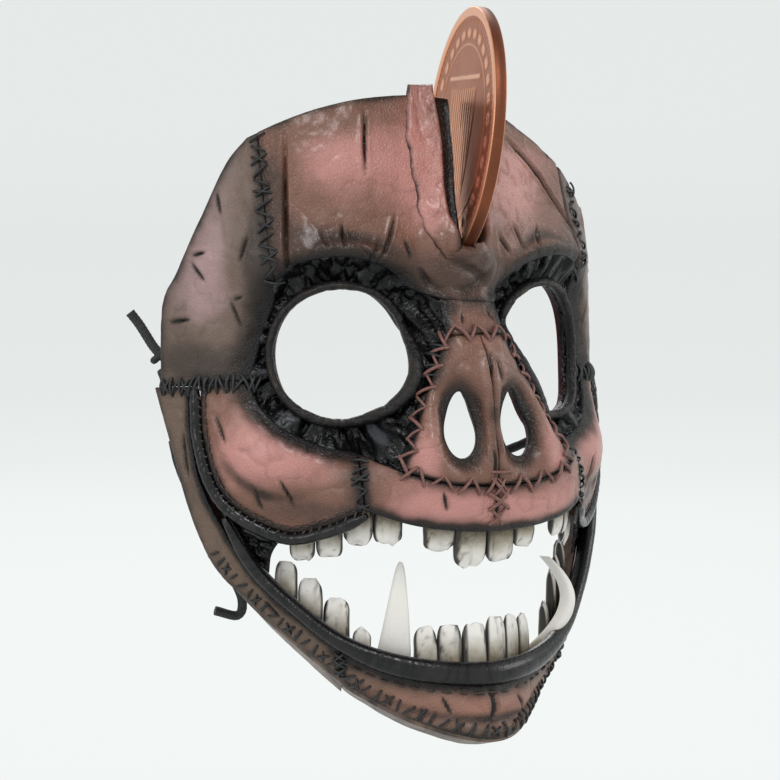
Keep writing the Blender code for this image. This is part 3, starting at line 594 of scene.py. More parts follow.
# Cuts in the hide: points across and up the face, depth and width.
CUTS = [
    ([(-28, 71), (-29, 61), (-29, 52)], 1.0, 0.6),
    ([(-20, 40), (-24, 30), (-26, 27)], 0.9, 0.5),
    ([(-25, 34), (-28, 28), (-30, 25)], 0.7, 0.5),
    ([(-37, 38), (-36, 31)], 0.8, 0.5),
    ([(-31, 31), (-27, 26)], 0.7, 0.5),
    ([(-14, 25), (-11, 18)], 0.8, 0.6),
    ([(-18, 33), (-16, 27)], 0.6, 0.5),
    ([(-43, 36), (-41, 31)], 0.6, 0.5),
    ([(27, 63), (37, 54), (49, 41), (57, 32)], 1.2, 0.7),
    ([(33, 37), (30, 31)], 0.7, 0.5),
    ([(15, 34), (18, 28)], 0.7, 0.5),
    ([(22, 37), (24, 30)], 0.7, 0.5),
    ([(44, 62), (50, 57)], 0.6, 0.5),
    ([(-76, 47), (-74, 40)], 0.8, 0.5),
    ([(-83, 28), (-78, 29)], 0.8, 0.5),
    ([(-83, 26), (-78, 20)], 0.8, 0.5),
    ([(-65, 34), (-67, 26)], 0.8, 0.5),
    ([(-91, 8), (-83, 9)], 0.9, 0.6),
    ([(-70, 15), (-66, 6)], 0.8, 0.5),
    ([(-69, 15), (-66, 16)], 0.6, 0.5),
    ([(73, 41), (70, 33)], 0.8, 0.5),
    ([(84, 22), (76, 24)], 0.8, 0.5),
    ([(90, 6), (82, 8)], 0.9, 0.6),
    ([(69, 14), (66, 5)], 0.7, 0.5),
    ([(-62, -40), (-59, -47)], 0.7, 0.5),
    ([(-54, -37), (-50, -46)], 0.8, 0.5),
    ([(-74, -19), (-70, -27)], 0.6, 0.5),
    ([(-44, -24), (-47, -30)], 0.5, 0.5),
    ([(60, -38), (57, -46)], 0.7, 0.5),
    ([(51, -34), (47, -44)], 0.9, 0.7),
    ([(70, -24), (66, -30)], 0.6, 0.5),
    ([(-85, -24), (-83, -38)], 0.8, 0.5),
    ([(-79, -40), (-76, -49)], 0.7, 0.5),
    ([(-60, -74), (-55, -79)], 0.6, 0.5),
    ([(84, -26), (81, -38)], 0.8, 0.5),
    ([(66, -68), (60, -74)], 0.7, 0.5),
    ([(0, -98), (1, -104), (-1, -110)], 0.9, 0.7),
    ([(-12, -101), (-10, -107)], 0.6, 0.5),
    ([(9, -102), (12, -107)], 0.5, 0.5),
    ([(1, 0), (0, -8)], 0.9, 0.5),
    ([(-1, -28), (-1, -36)], 0.9, 0.5),
    ([(3, -2), (3, -9)], 0.6, 0.4),
    ([(-3, 12), (-4, 8)], 0.6, 0.4),
    ([(5, 13), (6, 9)], 0.5, 0.4),
    ([(-14, -40), (-13, -46)], 0.5, 0.4),
    ([(0, -40), (0, -50)], 1.0, 0.5),
]
# Soft creases: the fold under the slot, the dent above the nose, and the furrows beside the eyes.
CREASES = [
    ([(-9, 30), (-3, 26), (4, 22), (8, 18)], 1.6, 1.8),
    ([(9, 26), (5, 21), (-1, 18), (-6, 19)], 1.2, 1.6),
    ([(-13, 22), (-7, 16)], 1.2, 1.5),
    ([(13, 22), (8, 16)], 1.2, 1.5),
    ([(-55, 64), (-54, 45), (-53, 30), (-52, 21)], 2.0, 0.7),
    ([(55, 62), (54, 45), (53, 30), (52, 22)], 2.0, 0.7),
    ([(-48, 30), (-40, 34), (-28, 33), (-18, 26)], 0.9, 2.4),
    ([(48, 30), (40, 34), (28, 33), (18, 26)], 0.9, 2.4),
    ([(-73, -30), (-66, -38), (-56, -43), (-45, -42)], 0.8, 2.2),
    ([(73, -30), (66, -38), (56, -43), (45, -42)], 0.8, 2.2),
    ([(-30, -100), (-18, -106), (0, -108), (18, -106), (30, -100)], 0.8, 2.0),
]


# Black along seams, partly sprayed paint and partly painted shade under the brow, below the muzzle and beside
# the nose lacing: a line of one half, how far it spreads, and how dark it starts.
SPRAY_AND_SHADE_LINES = [
    (BROW_LINE, 4.2, 1.0),
    (SOCKET_SIDE, 7.5, 1.0),
    (CHEEK_TOP, 4.6, 1.0),
    ([(9.2, 5), (13, -4), (15.1, -9.6)], 2.4, 0.8),
    ([(8.6, 15), (9.2, 5)], 3.0, 0.85),
    ([(80, -10), (66, -9)], 3.4, 0.9),
    (MUZZLE_END, 2.6, 0.85),
    (MUZZLE_LIP, 3.2, 0.95),
    (CHEEK_LIP[1:], 3.0, 0.9),
    (CHIN_LIP, 4.2, 1.0),
    (JAW_LIP, 1.8, 0.9),
    (NOSE_SIDE[:3], 1.2, 0.7),
    (NOSE_FOOT, 1.3, 0.85),
    ([(56.5, 19), (60.7, 45), (64.2, 64)], 2.2, 0.6),
]


def spray_and_shade(across, height):
    """How black the seams are, 0 to 1, with a cloudy border: partly sprayed black paint, partly painted shade.
    """
    dark = np.zeros(across.shape)
    cloudy = 0.75 + 0.6 * clouds(across, height, 6, 3, 2)
    for line, spread, start in SPRAY_AND_SHADE_LINES:
        near, _ = stroke(np.abs(across), height, line, spread)
        dark = np.maximum(dark, start * np.exp(-((near * cloudy) ** 1.6)))
    return dark


def hide(across, height):
    """(lift, ink, blush) of plain painted hide at chart points; the dark value is painted shade in folds, cuts
    and creases, and partly sprayed paint along seams.
    """
    lift = 0.9 * (clouds(across, height, 13, 4) - 0.5) - 0.35 * folds(across, height, 11, 2) ** 4
    lift += 0.22 * (clouds(across, height, 2.4, 3, 3) - 0.5)
    # Painted shade in the folds.
    ink = 0.28 * folds(across, height, 11, 2) ** 5
    for points, deep, width in CUTS:
        near, reach = stroke(across, height, points, width)
        groove = np.exp(-(near**2)) * reach
        lift += deep * (0.35 * np.exp(-((near - 2.4) ** 2)) * reach - groove)
        # Painted shade in each cut and a softer painted shade beside it.
        ink = np.maximum(ink, 0.95 * groove)
        ink = np.maximum(ink, 0.35 * np.exp(-((near / 3.5) ** 2)) * reach)
    for points, deep, width in CREASES:
        near, reach = stroke(across, height, points, width)
        groove = np.exp(-(near**2)) * reach
        lift -= deep * groove
        # Painted shade in each crease.
        ink = np.maximum(ink, 0.55 * groove)
    ink = np.maximum(ink, spray_and_shade(across, height))
    return lift, ink, shade(across, height)


# Where the paint turns dark (+) or pale pink (-), partly the paint's own tones and partly painted highlight and
# painted shade: across, height, half-width, half-height, amount.
PAINT = [
    (-30, 58, 20, 12, -0.75),
    (-12, 50, 7, 26, -0.5),
    (-42, 40, 8, 22, -0.1),
    (-50, 26, 12, 14, 0.75),
    (-20, 22, 26, 9, 0.7),
    (-2, 24, 13, 9, 0.5),
    (26, 48, 17, 15, -0.6),
    (24, 24, 24, 9, 0.7),
    (50, 28, 12, 16, 0.7),
    (-44, 70, 26, 6, 0.45),
    (34, 68, 30, 6, 0.6),
    (0, -46, 30, 5, -0.9),
    (0, -54, 34, 3, 0.5),
    (0, 8, 6, 7, -0.4),
    (0, -22, 3, 12, -0.5),
    (0, -104, 20, 5, -0.5),
    (0, -114, 34, 4, 0.6),
    (35, -92, 8, 9, 0.5),
    (-35, -92, 8, 9, 0.3),
    (-58, 42, 5, 24, 0.9),
    (58, 42, 5, 24, 0.8),
    (-40, 30, 22, 8, 0.6),
    (0, 12, 9, 5, 0.5),
]
# The same, for patches that stand on both sides.
PAINT_BOTH = [
    (77, 22, 8, 22, -0.55),
    (62, 20, 7, 34, 0.55),
    (76, -6, 22, 6, 0.6),
    (57, -29, 15, 9, -1.0),
    (50, -47, 20, 6, 0.45),
    (34, -38, 4, 12, 0.7),
    (8, -20, 8, 15, 0.9),
    (18, -30, 4, 8, -0.7),
    (82, -35, 8, 24, 0.35),
    (56, -78, 12, 10, 0.1),
    (80, 0, 16, 8, 0.7),
    (45, -46, 16, 4, 0.5),
]


def shade(across, height):
    """How pale and pink the paint is, from about -1 (brown wash) to 1: partly the paint's own tones, partly
    painted highlight on the cheeks, muzzle and upper forehead and painted shade under the brow, the muzzle and
    the chin.
    """
    total = np.zeros(across.shape)
    for x, y, wide, tall, amount in PAINT + PAINT_BOTH + mirrored(PAINT_BOTH):
        total -= amount * np.exp(-(((across - x) / wide) ** 2) - ((height - y) / tall) ** 2)
    return total


# ---- Meshes ----
def closed_shell(name, front, back, faces, paints, finish):
    """A solid from an outer and an inner skin that share one set of faces; walls join their borders."""
    count = len(front)
    faces = np.asarray(faces)
    corners = faces.shape[1]
    a = faces.reshape(-1)
    b = np.roll(faces, -1, axis=1).reshape(-1)
    forward, backward = a.astype(np.int64) * count + b, b.astype(np.int64) * count + a
    border = ~np.isin(forward, backward)
    walls = np.stack([b[border], a[border], a[border] + count, b[border] + count], 1)
    every = [*faces.tolist(), *(faces[:, ::-1] + count).tolist(), *walls.tolist()]
    both = {key: np.concatenate([values, np.maximum(values, 0)]) for key, values in paints.items()}
    both["inside"] = np.concatenate([np.zeros(count), np.ones(count)])
    return plain_mesh(name, np.vstack([front, back]), every, both, finish)


def plain_mesh(name, points, faces, paints, finish, sharp=70):
    """An object from places in millimetres, with one painted value per point for each of paints."""
    mesh = bpy.data.meshes.new(name)
    mesh.from_pydata((points * MM).tolist(), [], faces)
    for key, values in paints.items():
        layer = mesh.attributes.new(key, "FLOAT", "POINT")
        layer.data.foreach_set("value", np.broadcast_to(np.ravel(values), len(points)).astype(np.float32))
    mesh.materials.append(finish)
    mesh.shade_smooth()
    mesh.set_sharp_from_angle(angle=math.radians(sharp))
    return add_object(name, mesh)


def grid_faces(rows, columns, closed=False):
    """Quads of a grid whose rows run along t; the last column meets the first one if closed."""
    i, k = np.meshgrid(np.arange(rows - 1), np.arange(columns if closed else columns - 1), indexing="ij")
    a = i * columns + k
    b = i * columns + (k + 1) % columns
    return np.stack([a, b, b + columns, a + columns], -1).reshape(-1, 4)


def place_piece(made, nodes=(), body="mask"):
    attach(made, body)
    if nodes:
        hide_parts(*nodes)
    return made


def edge_profile(near, roll=EDGE_ROLL, drop=1.0):
    """How far a cut edge is rounded down, for points that lie `near` millimetres from it."""
    share = np.clip(near / roll, 0, 1)
    return -drop * (1 - np.sqrt(np.clip(1 - (1 - share) ** 2, 0, 1)))


def skin_paints(lift, ink, blush, near, chart, wash=2.6, dark=0.8):
    """Adds what every sewn edge has: a rounded border, a dark wash along it that is partly antiquing and partly
    painted shade between the panels, and paler high spots that are partly rubbed wear and partly painted
    highlight, brightest along the edge's crest.
    """
    across, height = chart[..., 0], chart[..., 1]
    ragged = near + 1.6 * (clouds(across, height, 3.5, 3, 4) - 0.5)
    # Dark wash along the edge: antiquing, and painted shade where the panels meet.
    ink = np.maximum(ink, dark * np.exp(-np.clip(ragged, 0, None) / wash))
    # Paler on what stands up and along the crest of the rounded edge: wear, and a painted highlight.
    wear_and_highlight = np.clip(lift * 1.2 + 0.3, 0, 1) * (1 - ink)
    wear_and_highlight = np.maximum(wear_and_highlight, 0.8 * np.exp(-(((near - 0.9) / 0.45) ** 2)) * clouds(across, height, 5, 2, 5))
    return {"ink": np.clip(ink, 0, 1), "blush": blush, "wear_and_highlight": np.clip(wear_and_highlight, 0, 1)}


def skinned_piece(name, points, near, faces, at_edge, finish, nodes, options):
    """A panel from its grid of chart points; `at_edge` is how much of the texture its edges keep."""
    lift, ink, blush = options.get("skin", hide)(points[..., 0], points[..., 1])
    blush = blush + options.get("blush", 0.0)
    paints = skin_paints(lift, ink, blush, near, points, options.get("wash", 2.6), options.get("dark", 0.8))
    high, thick = options.get("lift", 0.0), options.get("thick", LEATHER)
    calm = at_edge + (1 - at_edge) * ease(0, 2.0, near)
    front = face_point(points, high + lift * calm + edge_profile(near)).reshape(-1, 3)
    back = face_point(points, high - thick + 0.0 * near).reshape(-1, 3)
    flat = {key: values.reshape(-1) for key, values in paints.items()}
    return place_piece(closed_shell(name, front, back, faces, flat, finish), nodes)


def leather_piece(name, chart, wide, tall, finish, slot, nodes, **options):
    """A sewn panel: `chart` maps the unit square to the face, `wide` by `tall` millimetres."""
    step = options.get("step", STEP)
    columns, rows = int(wide / step) + 2, int(tall / step) + 2
    s, t = np.meshgrid(np.linspace(0, 1, columns), np.linspace(0, 1, rows))
    points = chart(s, t)
    side = np.linalg.norm(np.diff(points, axis=1), axis=-1).sum(1)[:, None]
    up = np.linalg.norm(np.diff(points, axis=0), axis=-1).sum(0)[None, :]
    near = np.minimum(np.minimum(s, 1 - s) * side, np.minimum(t, 1 - t) * up)
    return skinned_piece(name, points, near, grid_faces(rows, columns), 0.35, finish, nodes, options)


def ring_piece(name, outer, inner, count, finish, slot, nodes, **options):
    """A panel with a hole: outer and inner are closed chart lines sampled at `count` shares."""
    share = np.arange(count) / count
    rim, hole = outer(share), inner(share)
    far = np.linalg.norm(hole - rim, axis=-1)
    rows = int(far.mean() / options.get("step", STEP)) + 3
    t = np.linspace(0, 1, rows)[:, None]
    points = rim[None] * (1 - t[..., None]) + hole[None] * t[..., None]
    near = np.minimum(t, 1 - t) * far[None]
    faces = grid_faces(rows, count, closed=True)
    if options.get("flip", False):
        faces = faces[:, ::-1]
    return skinned_piece(name, points, near, faces, 0.3, finish, nodes, options)


def face_outwards(chart, side):
    """Keeps a panel's outer skin facing out on either side, by running its columns the other way."""
    return chart if side > 0 else lambda s, t: chart(1 - s, t)


def sewn_panel(name, node, lines, size, finish, slot, side=1, turn=1, gap=SEAM_GAP, **options):
    """A panel between four chart lines: its bottom, its top, and its first and last columns."""
    chart = patch(*(smooth_line(on_side(line, side)) for line in lines), gap)
    return leather_piece(name, face_outwards(chart, turn), *size, finish, slot, [node], **options)


# ---- The leather pieces ----
def forehead(finish):
    """The forehead, with its slot left open from the foot up to the top edge."""
    bottom = smooth_line(across_face(BROW_LINE))
    corner = TEMPLE_CORNER
    seam_right = smooth_line(mirrored(TEMPLE_SEAM) + [(-corner, top_height(-corner))])
    seam_left = smooth_line(TEMPLE_SEAM + [(corner, top_height(corner))])

    def top(share):
        across = -corner + 2 * corner * share
        return np.stack([across, top_height(across)], -1)

    flat = patch(bottom, top, seam_right, seam_left)
    half = 130
    rows = 118
    s = np.concatenate([np.linspace(0, 0.5, half), np.linspace(0.5, 1, half)])
    s, t = np.meshgrid(s, np.linspace(0, 1, rows))
    points = flat(s, t)
    right_half = np.broadcast_to(np.arange(2 * half) < half, s.shape)
    across, height = points[..., 0].copy(), points[..., 1]
    across += slot_edge(height, 0) * np.exp(-((across / 25) ** 2))
    opened = ease(SLOT_FOOT - 3.5, SLOT_FOOT + 1.5, height)
    half_slot = slot_edge(height, 1) - slot_edge(height, 0)
    torn = 0.9 * (clouds(height, 0 * height + 3.0, 5, 3, 1) - 0.5)
    # The black edge beside the slot is a painted shadow inside the slot.
    slot_shadow = np.where(right_half, soft_value(SLOT_SHADOW_REACH, height, 1, 4.0), 0.0)
    spread = np.where(right_half, slot_shadow - half_slot, half_slot + torn)
    across += spread * np.exp(-np.abs(points[..., 0]) / 20) * opened
    points = np.stack([across, height], -1)
    to_slot = np.abs(points[..., 0] - slot_edge(height, 0)) - half_slot + slot_shadow
    seam = np.minimum(s, 1 - s) * 2 * corner
    ends = np.minimum(t, 1 - t) * 58
    near = np.minimum(np.minimum(seam, ends), np.where(opened > 0.5, np.clip(to_slot, 0, None), 99))
    lift, ink, blush = hide(across, height)
    lift = lift + 1.2 * np.exp(-((np.clip(to_slot, 0, None) / 9) ** 2)) * opened
    lift = lift + 2.6 * np.exp(-(((across - 2.5) / 7.5) ** 2) - ((height - 27.5) / 6.0) ** 2)
    # The forehead sinks and turns black beside the slot's right edge: painted shadow inside the slot.
    sunk = ease(-3.2, -1.6, points[..., 0] - slot_edge(height, -1)) * right_half * opened
    ink = np.maximum(ink, 1.1 * sunk)
    lift = lift * (1 - sunk) - 1.6 * sunk
    paints = skin_paints(lift, ink, blush, near, points)
    paints["wear_and_highlight"] = paints["wear_and_highlight"] * (1 - sunk)
    front = face_point(points, lift * (0.35 + 0.65 * ease(0, 2, near)) + edge_profile(near))
    back = face_point(points, -LEATHER + 0 * near)
    index = np.arange(rows * 2 * half).reshape(rows, 2 * half)
    welded = index.copy()
    closed_rows = opened[:, half] < 0.02
    welded[closed_rows, half] = index[closed_rows, half - 1]
    left_quads = grid_quads(welded[:, :half])
    right_quads = grid_quads(welded[:, half:])
    faces = np.vstack([left_quads, right_quads])
    used, faces = np.unique(faces, return_inverse=True)
    faces = faces.reshape(-1, 4)
    flat_paints = {key: values.reshape(-1)[used] for key, values in paints.items()}
    front, back = front.reshape(-1, 3)[used], back.reshape(-1, 3)[used]
    made = closed_shell("forehead_hide", front, back, faces, flat_paints, finish)
    return place_piece(made, ["forehead_panel"])


def grid_quads(index):
    """Quads of a grid of vertex numbers."""
    a, b = index[:-1, :-1], index[:-1, 1:]
    return np.stack([a, b, index[1:, 1:], index[1:, :-1]], -1).reshape(-1, 4)


# How far each raised slot strip reaches from the mid-line, at heights up the forehead.
STRIP_BORDER = {
    -1: [(-7, 27), (-10.5, 34), (-14, 52), (-14, 64), (-12.5, 74), (-10.5, 79)],
    1: [(9, 27), (11, 40), (15.5, 55), (20, 66), (23, 72)],
}


# How far each strip stops short of the slot, where the forehead's black edge, a painted shadow inside the slot,
# shows.
STRIP_BARE = {-1: 2.4, 1: 0.25}


def slot_lip(side, word, finish):
    """A raised strip with a torn border beside the slot, thin where it meets the forehead."""
    border = smooth_line(STRIP_BORDER[side])

    def chart(s, t):
        outer = border(t)
        torn = 2.8 * (clouds(50 * t, 3.0 + side + 0 * t, 5, 4, 2) - 0.5)
        outer = outer + np.stack([torn, 0 * t], -1)
        bare = STRIP_BARE[side] * ease(32, 40, outer[..., 1])
        inner = np.stack([slot_edge(outer[..., 1], side) + bare * side, outer[..., 1]], -1)
        first, last = (outer, inner) if side < 0 else (inner, outer)
        return first * (1 - s[..., None]) + last * s[..., None]

    def skin(across, height):
        lift, ink, _ = hide(across, height)
        away = np.abs(across - slot_edge(height, side))
        ramp = 2.7 * (1 - ease(0.5, 10, away))
        # Painted shade: the folds are darker, and the side next to the slot is black as a painted shadow inside
        # the slot.
        wave = 0.4 * folds(across * 1.5, height, 6, 4) ** 3
        foot = ease(26, 34, height)
        wall_shadow = np.exp(-((away / (2.6 if side < 0 else 1.2)) ** 2))
        ink = np.maximum(0.5 * ink + 0.5 * wave, wall_shadow)
        return lift + (ramp - wave + 1.2) * foot - 0.6, ink, shade(across, height) + 0.3

    return leather_piece(
        f"slot_edge_{word}", chart, 10, 48, finish, "pink_leather",
        [f"slot_lip_{word}"], skin=skin, thick=1.4, lift=0.7, dark=0.6, wash=1.2, step=0.4,
    )


def temple(side, word, finish):
    seam = TEMPLE_SEAM + [(TEMPLE_CORNER, top_height(side * TEMPLE_CORNER))]
    back = TEMPLE_BACK[:-1] + [(67.7, top_height(-67.7))]
    if side > 0:
        back = TEMPLE_BACK[:-2] + [(73.0, top_height(73.0)), (68.4, top_height(68.4))]
    back[0] = (TEMPLE_BACK[0][0], -11.4)
    bottom = [SEAM_START, (72, -9.6), (80, -10.6), back[0]]
    inner = [SEAM_START] + SOCKET_SIDE[1::-1] + seam[1:]
    lines = (bottom, [seam[-1], back[-1]], inner, back)
    names = f"temple_hide_{word}", f"temple_panel_{word}"
    return sewn_panel(*names, lines, (32, 74), finish, "mauve_leather", side, side, blush=0.1)


def socket_skin(across, height):
    """Black hide gathered in pleats that run out from the eye, and in rings beside the nose."""
    side = np.sign(across)
    x, y = np.abs(across) - EYE[0], height - EYE[1]
    radius, turn = np.hypot(x, y), np.arctan2(x, y)
    spokes = folds(turn * 26, radius * 0.55 + 7 * side, 5.0, 1)
    rings = folds(radius * 1.2, turn * 9 + 5 * side, 3.6, 3)
    beside_nose = ease(-8, -20, x) * ease(26, 8, np.abs(y + 2))
    pleats = spokes * (1 - beside_nose) + rings * beside_nose
    lift = 0.6 - 3.0 * pleats**2 + 0.5 * (clouds(across, height, 3, 3, 2) - 0.5)
    brow = ease(6, 16, y) * 0.6
    # The second value darkens the pleats: painted shade.
    return lift, np.clip(0.55 * pleats, 0, 1), 0 * across + brow


def closed_loop(lines, side, gap):
    """A closed chart line through several joined ones, drawn in by the gap."""
    corners = [np.array(line, float) for line in lines]
    middle = np.mean([line.mean(0) for line in corners], axis=0)
    lengths = np.array([np.linalg.norm(np.diff(line, axis=0), axis=1).sum() for line in corners])
    starts = np.concatenate([[0], np.cumsum(lengths)]) / lengths.sum()

    def at(share):
        share = np.asarray(share) % 1.0
        points = np.zeros((len(share), 2))
        for k, line in enumerate(corners):
            here = (share >= starts[k]) & (share < starts[k + 1])
            points[here] = smooth_line(line)((share[here] - starts[k]) / (starts[k + 1] - starts[k]))
        inward = unit(middle - points)
        points = points + inward * gap
        return points * np.array([side, 1.0])

    return at


def facing_oval(outer, centre, wide, tall, side, point=0.0):
    """An oval whose points face those of an outer loop; `point` draws its top into a teardrop."""

    def at(share):
        away = (outer(share) - np.array([side * centre[0], centre[1]])) / np.array([wide, tall])
        turn = np.arctan2(away[:, 0], away[:, 1])
        pinch = 1 - point * (0.5 + 0.5 * np.cos(turn)) ** 2
        across = side * centre[0] + wide * pinch * np.sin(turn)
        return np.stack([across, centre[1] + tall * np.cos(turn)], -1)

    return at


def socket(side, word, finish):
    under_eye, beside_bridge = [(33.5, -29), (28, -32), (23.7, -34)], [(9.2, 5), (8.4, 14)]
    lines = [BROW_LINE, SOCKET_SIDE, CHEEK_TOP, under_eye, NOSE_SIDE, beside_bridge]
    outer = closed_loop(lines, side, -1.0)
    inner = facing_oval(outer, EYE, EYE_WIDE + 0.5, EYE_TALL + 0.5, side)
    name = f"pleated_socket_{word}"
    return ring_piece(
        name, outer, inner, 420, finish, "black_leather", [f"eye_socket_{word}"],
        skin=socket_skin, step=0.4, flip=side > 0, dark=0.3, wash=1.0,
    )


def eye_rim(side, word, finish):
    """A rolled rim round the eye hole, cracked, with a painted highlight along its top and painted shade on its
    underside and in the cracks.
    """
    turn = np.linspace(0, 2 * np.pi, 220, endpoint=False)
    rounds = np.linspace(0, 2 * np.pi, 26, endpoint=False)
    a, b = np.meshgrid(turn, rounds)
    crack = folds(a * 22, b * 1.2 + 3 * side, 4.0, 2) ** 3
    half = 1.4 - 0.3 * crack
    out = EYE_WIDE + 1.6 + half * np.cos(b) * (1 + 0.05 * np.sin(3 * a))
    tall = out - EYE_WIDE + EYE_TALL
    chart = np.stack([side * (EYE[0] + out * np.sin(a)), EYE[1] + tall * np.cos(a)], -1)
    lift = 0.9 + (1.9 - 0.5 * crack) * np.sin(b) + 0.3 * (clouds(a * 22, b * 3, 3, 3, 1) - 0.5)
    points = face_point(chart, lift).reshape(-1, 3)
    top = np.clip(np.sin(b), 0, 1)
    # Painted light: the top of the rim is paler and pinker, its underside and cracks darker.
    paints = {
        "ink": np.clip(1.0 - top * 0.45 + 0.8 * crack, 0, 1),
        "blush": 0.15 * top - 0.2,
        "wear_and_highlight": np.clip(top - 0.35, 0, 1) * (1 - crack),
        "inside": 0.0 * top,
    }
    made = ring_tube(f"rolled_rim_{word}", points, len(rounds), len(turn), paints, finish, side > 0)
    return place_piece(made, [f"eye_rim_{word}"])


def ring_tube(name, points, rows, columns, paints, finish, flip):
    """A closed tube from rings of points: rows go round the tube and columns along it."""
    i, k = np.meshgrid(np.arange(rows), np.arange(columns), indexing="ij")
    a, b = i * columns + k, i * columns + (k + 1) % columns
    c, d = ((i + 1) % rows) * columns + (k + 1) % columns, ((i + 1) % rows) * columns + k
    faces = np.stack([a, b, c, d], -1).reshape(-1, 4)
    if flip:
        faces = faces[:, ::-1]
    return plain_mesh(name, points, faces.tolist(), paints, finish)


def roll(name, line, width, tall, columns, finish, slot, nodes, side=1, lift=0.3, texture=0.5, ends=0.35):
    """A rounded black strip along a chart line: half buried, ridged across, with tapered ends."""
    rounds = 18
    share = np.linspace(0, 1, columns)
    centre = line(share)
    along = unit(np.gradient(centre, axis=0))
    across = np.stack([-along[:, 1], along[:, 0]], -1)
    b = np.linspace(0, 2 * np.pi, rounds, endpoint=False)[:, None]
    taper = ends + (1 - ends) * np.clip(np.sin(np.pi * share) * 5, 0, 1) ** 0.5
    length = np.linalg.norm(np.diff(centre, axis=0), axis=1).sum()
    pleat = folds(share[None] * length, b * 1.0 + 2 * side, 3.2, 3) ** 2
    half = (0.5 * width * taper[None]) * (1 - 0.16 * texture * pleat)
    chart = centre[None] + across[None] * (half * np.cos(b))[..., None]
    high = lift + (0.5 * tall * taper[None] * (1 - 0.3 * texture * pleat)) * np.sin(b)
    points = face_point(chart, high).reshape(-1, 3)
    # Painted shade darkens the pleats and the underside of the roll; a painted highlight lightens its top.
    paints = {
        "ink": np.clip(0.5 * pleat - 0.5 * np.sin(b), 0, 1),
        "wear_and_highlight": np.clip(np.sin(b) * 0.6 + 0.35 - 0.8 * pleat, 0, 1) * (b * 0 + 1),
        "blush": 0 * pleat,
        "inside": 0 * pleat,
    }
    i, k = np.meshgrid(np.arange(rounds), np.arange(columns - 1), indexing="ij")
    a, c = i * columns + k, ((i + 1) % rounds) * columns + k
    faces = np.stack([a, a + 1, c + 1, c], -1).reshape(-1, 4).tolist()
    faces.append([i * columns for i in range(rounds)])
    faces.append([i * columns + columns - 1 for i in range(rounds)][::-1])
    made = plain_mesh(name, points, faces, paints, finish)
    return place_piece(made, nodes)


def cheek(side, word, finish):
    top = [CHEEK_LIP[0], (72, -9), (65.4, -9.4), *CHEEK_TOP[1:]]
    lines = (CHEEK_LIP[2:], top, CHEEK_LIP[2::-1], MUZZLE_END)
    names = f"cheek_hide_{word}", f"cheek_panel_{word}"
    return sewn_panel(*names, lines, (42, 34), finish, "pink_leather", side, -side, blush=0.1, wash=3.4)


def nose_bridge(finish):
    ends = [(-9.4, 5), (-9.4, 15.6)]
    lines = (across_face([(0, 5.4), (9.4, 5)]), across_face([(0, 15.8), (9.4, 15.6)]), ends, mirrored(ends))
    names = "nose_bridge_hide", "nose_bridge_panel"
    return sewn_panel(*names, lines, (18, 10), finish, "pink_leather", lift=-0.3, dark=0.6)


def nose_skin(across, height):
    """A septum ridge between two dark recesses, and a swollen wing beside each."""
    lift, ink, blush = hide(across, height)
    septum = np.exp(-((across / 2.6) ** 2)) * ease(-38, -30, height) * ease(6, -4, height)
    away = np.hypot((np.abs(across) - NOSTRIL[0]) / 6.0, (height - NOSTRIL[1]) / 12.5)
    recess = np.exp(-(away**4))
    wing = np.exp(-(((np.abs(across) - 15) / 3.5) ** 2)) * np.exp(-(((height + 20) / 12) ** 2))
    lift = lift + 1.6 * septum - 1.4 * recess + 1.2 * wing
    # The recesses beside the septum are painted shade.
    ink = np.maximum(ink, 1.1 * recess * (1 - 0.75 * septum))
    return lift, ink, blush + 0.5 * wing


def nose(finish):
    """Two halves, each with a teardrop nostril, that meet on the mid-line."""
    for side, word in SIDES:
        lines = [[(0, 5.4), (9.2, 5)], NOSE_SIDE[::-1], NOSE_FOOT[::-1], [(0, -39), (0, -16), (0, 5.4)]]
        outer = closed_loop(lines, side, -0.15)
        inner = facing_oval(outer, NOSTRIL, NOSTRIL_WIDE, NOSTRIL_TALL, side, point=0.45)
        nodes = ["nose_panel"] if side < 0 else ()
        ring_piece(
            f"nose_hide_{word}", outer, inner, 380, finish, "pink_leather", nodes,
            skin=nose_skin, step=0.4, flip=side > 0, dark=0.5, wash=2.0,
        )


def muzzle(finish):
    top = across_face([*NOSE_FOOT, MUZZLE_END[-1]])
    lines = (across_face(MUZZLE_LIP), top, mirrored(MUZZLE_END), MUZZLE_END)
    names = "muzzle_hide", "muzzle_panel"
    return sewn_panel(*names, lines, (84, 17), finish, "pink_leather", blush=0.25, dark=0.6)


def jaw(side, word, finish):
    lines = (JAW_BACK, JAW_LIP, [JAW_BACK[0], JAW_LIP[0]], [JAW_BACK[-1], JAW_LIP[-1]])
    names = f"jaw_hide_{word}", f"jaw_panel_{word}"
    options = dict(step=0.45, wash=2.0, dark=0.7)
    return sewn_panel(*names, lines, (116, 12), finish, "brown_leather", side, -side, **options)


def chin(finish):
    end = [CHIN_HEM[-1], CHIN_LIP[-1]]
    lines = (across_face(CHIN_HEM), across_face(CHIN_LIP), mirrored(end), end)
    return sewn_panel("chin_hide", "chin_panel", lines, (84, 17), finish, "brown_leather", blush=0.35, wash=2.2)


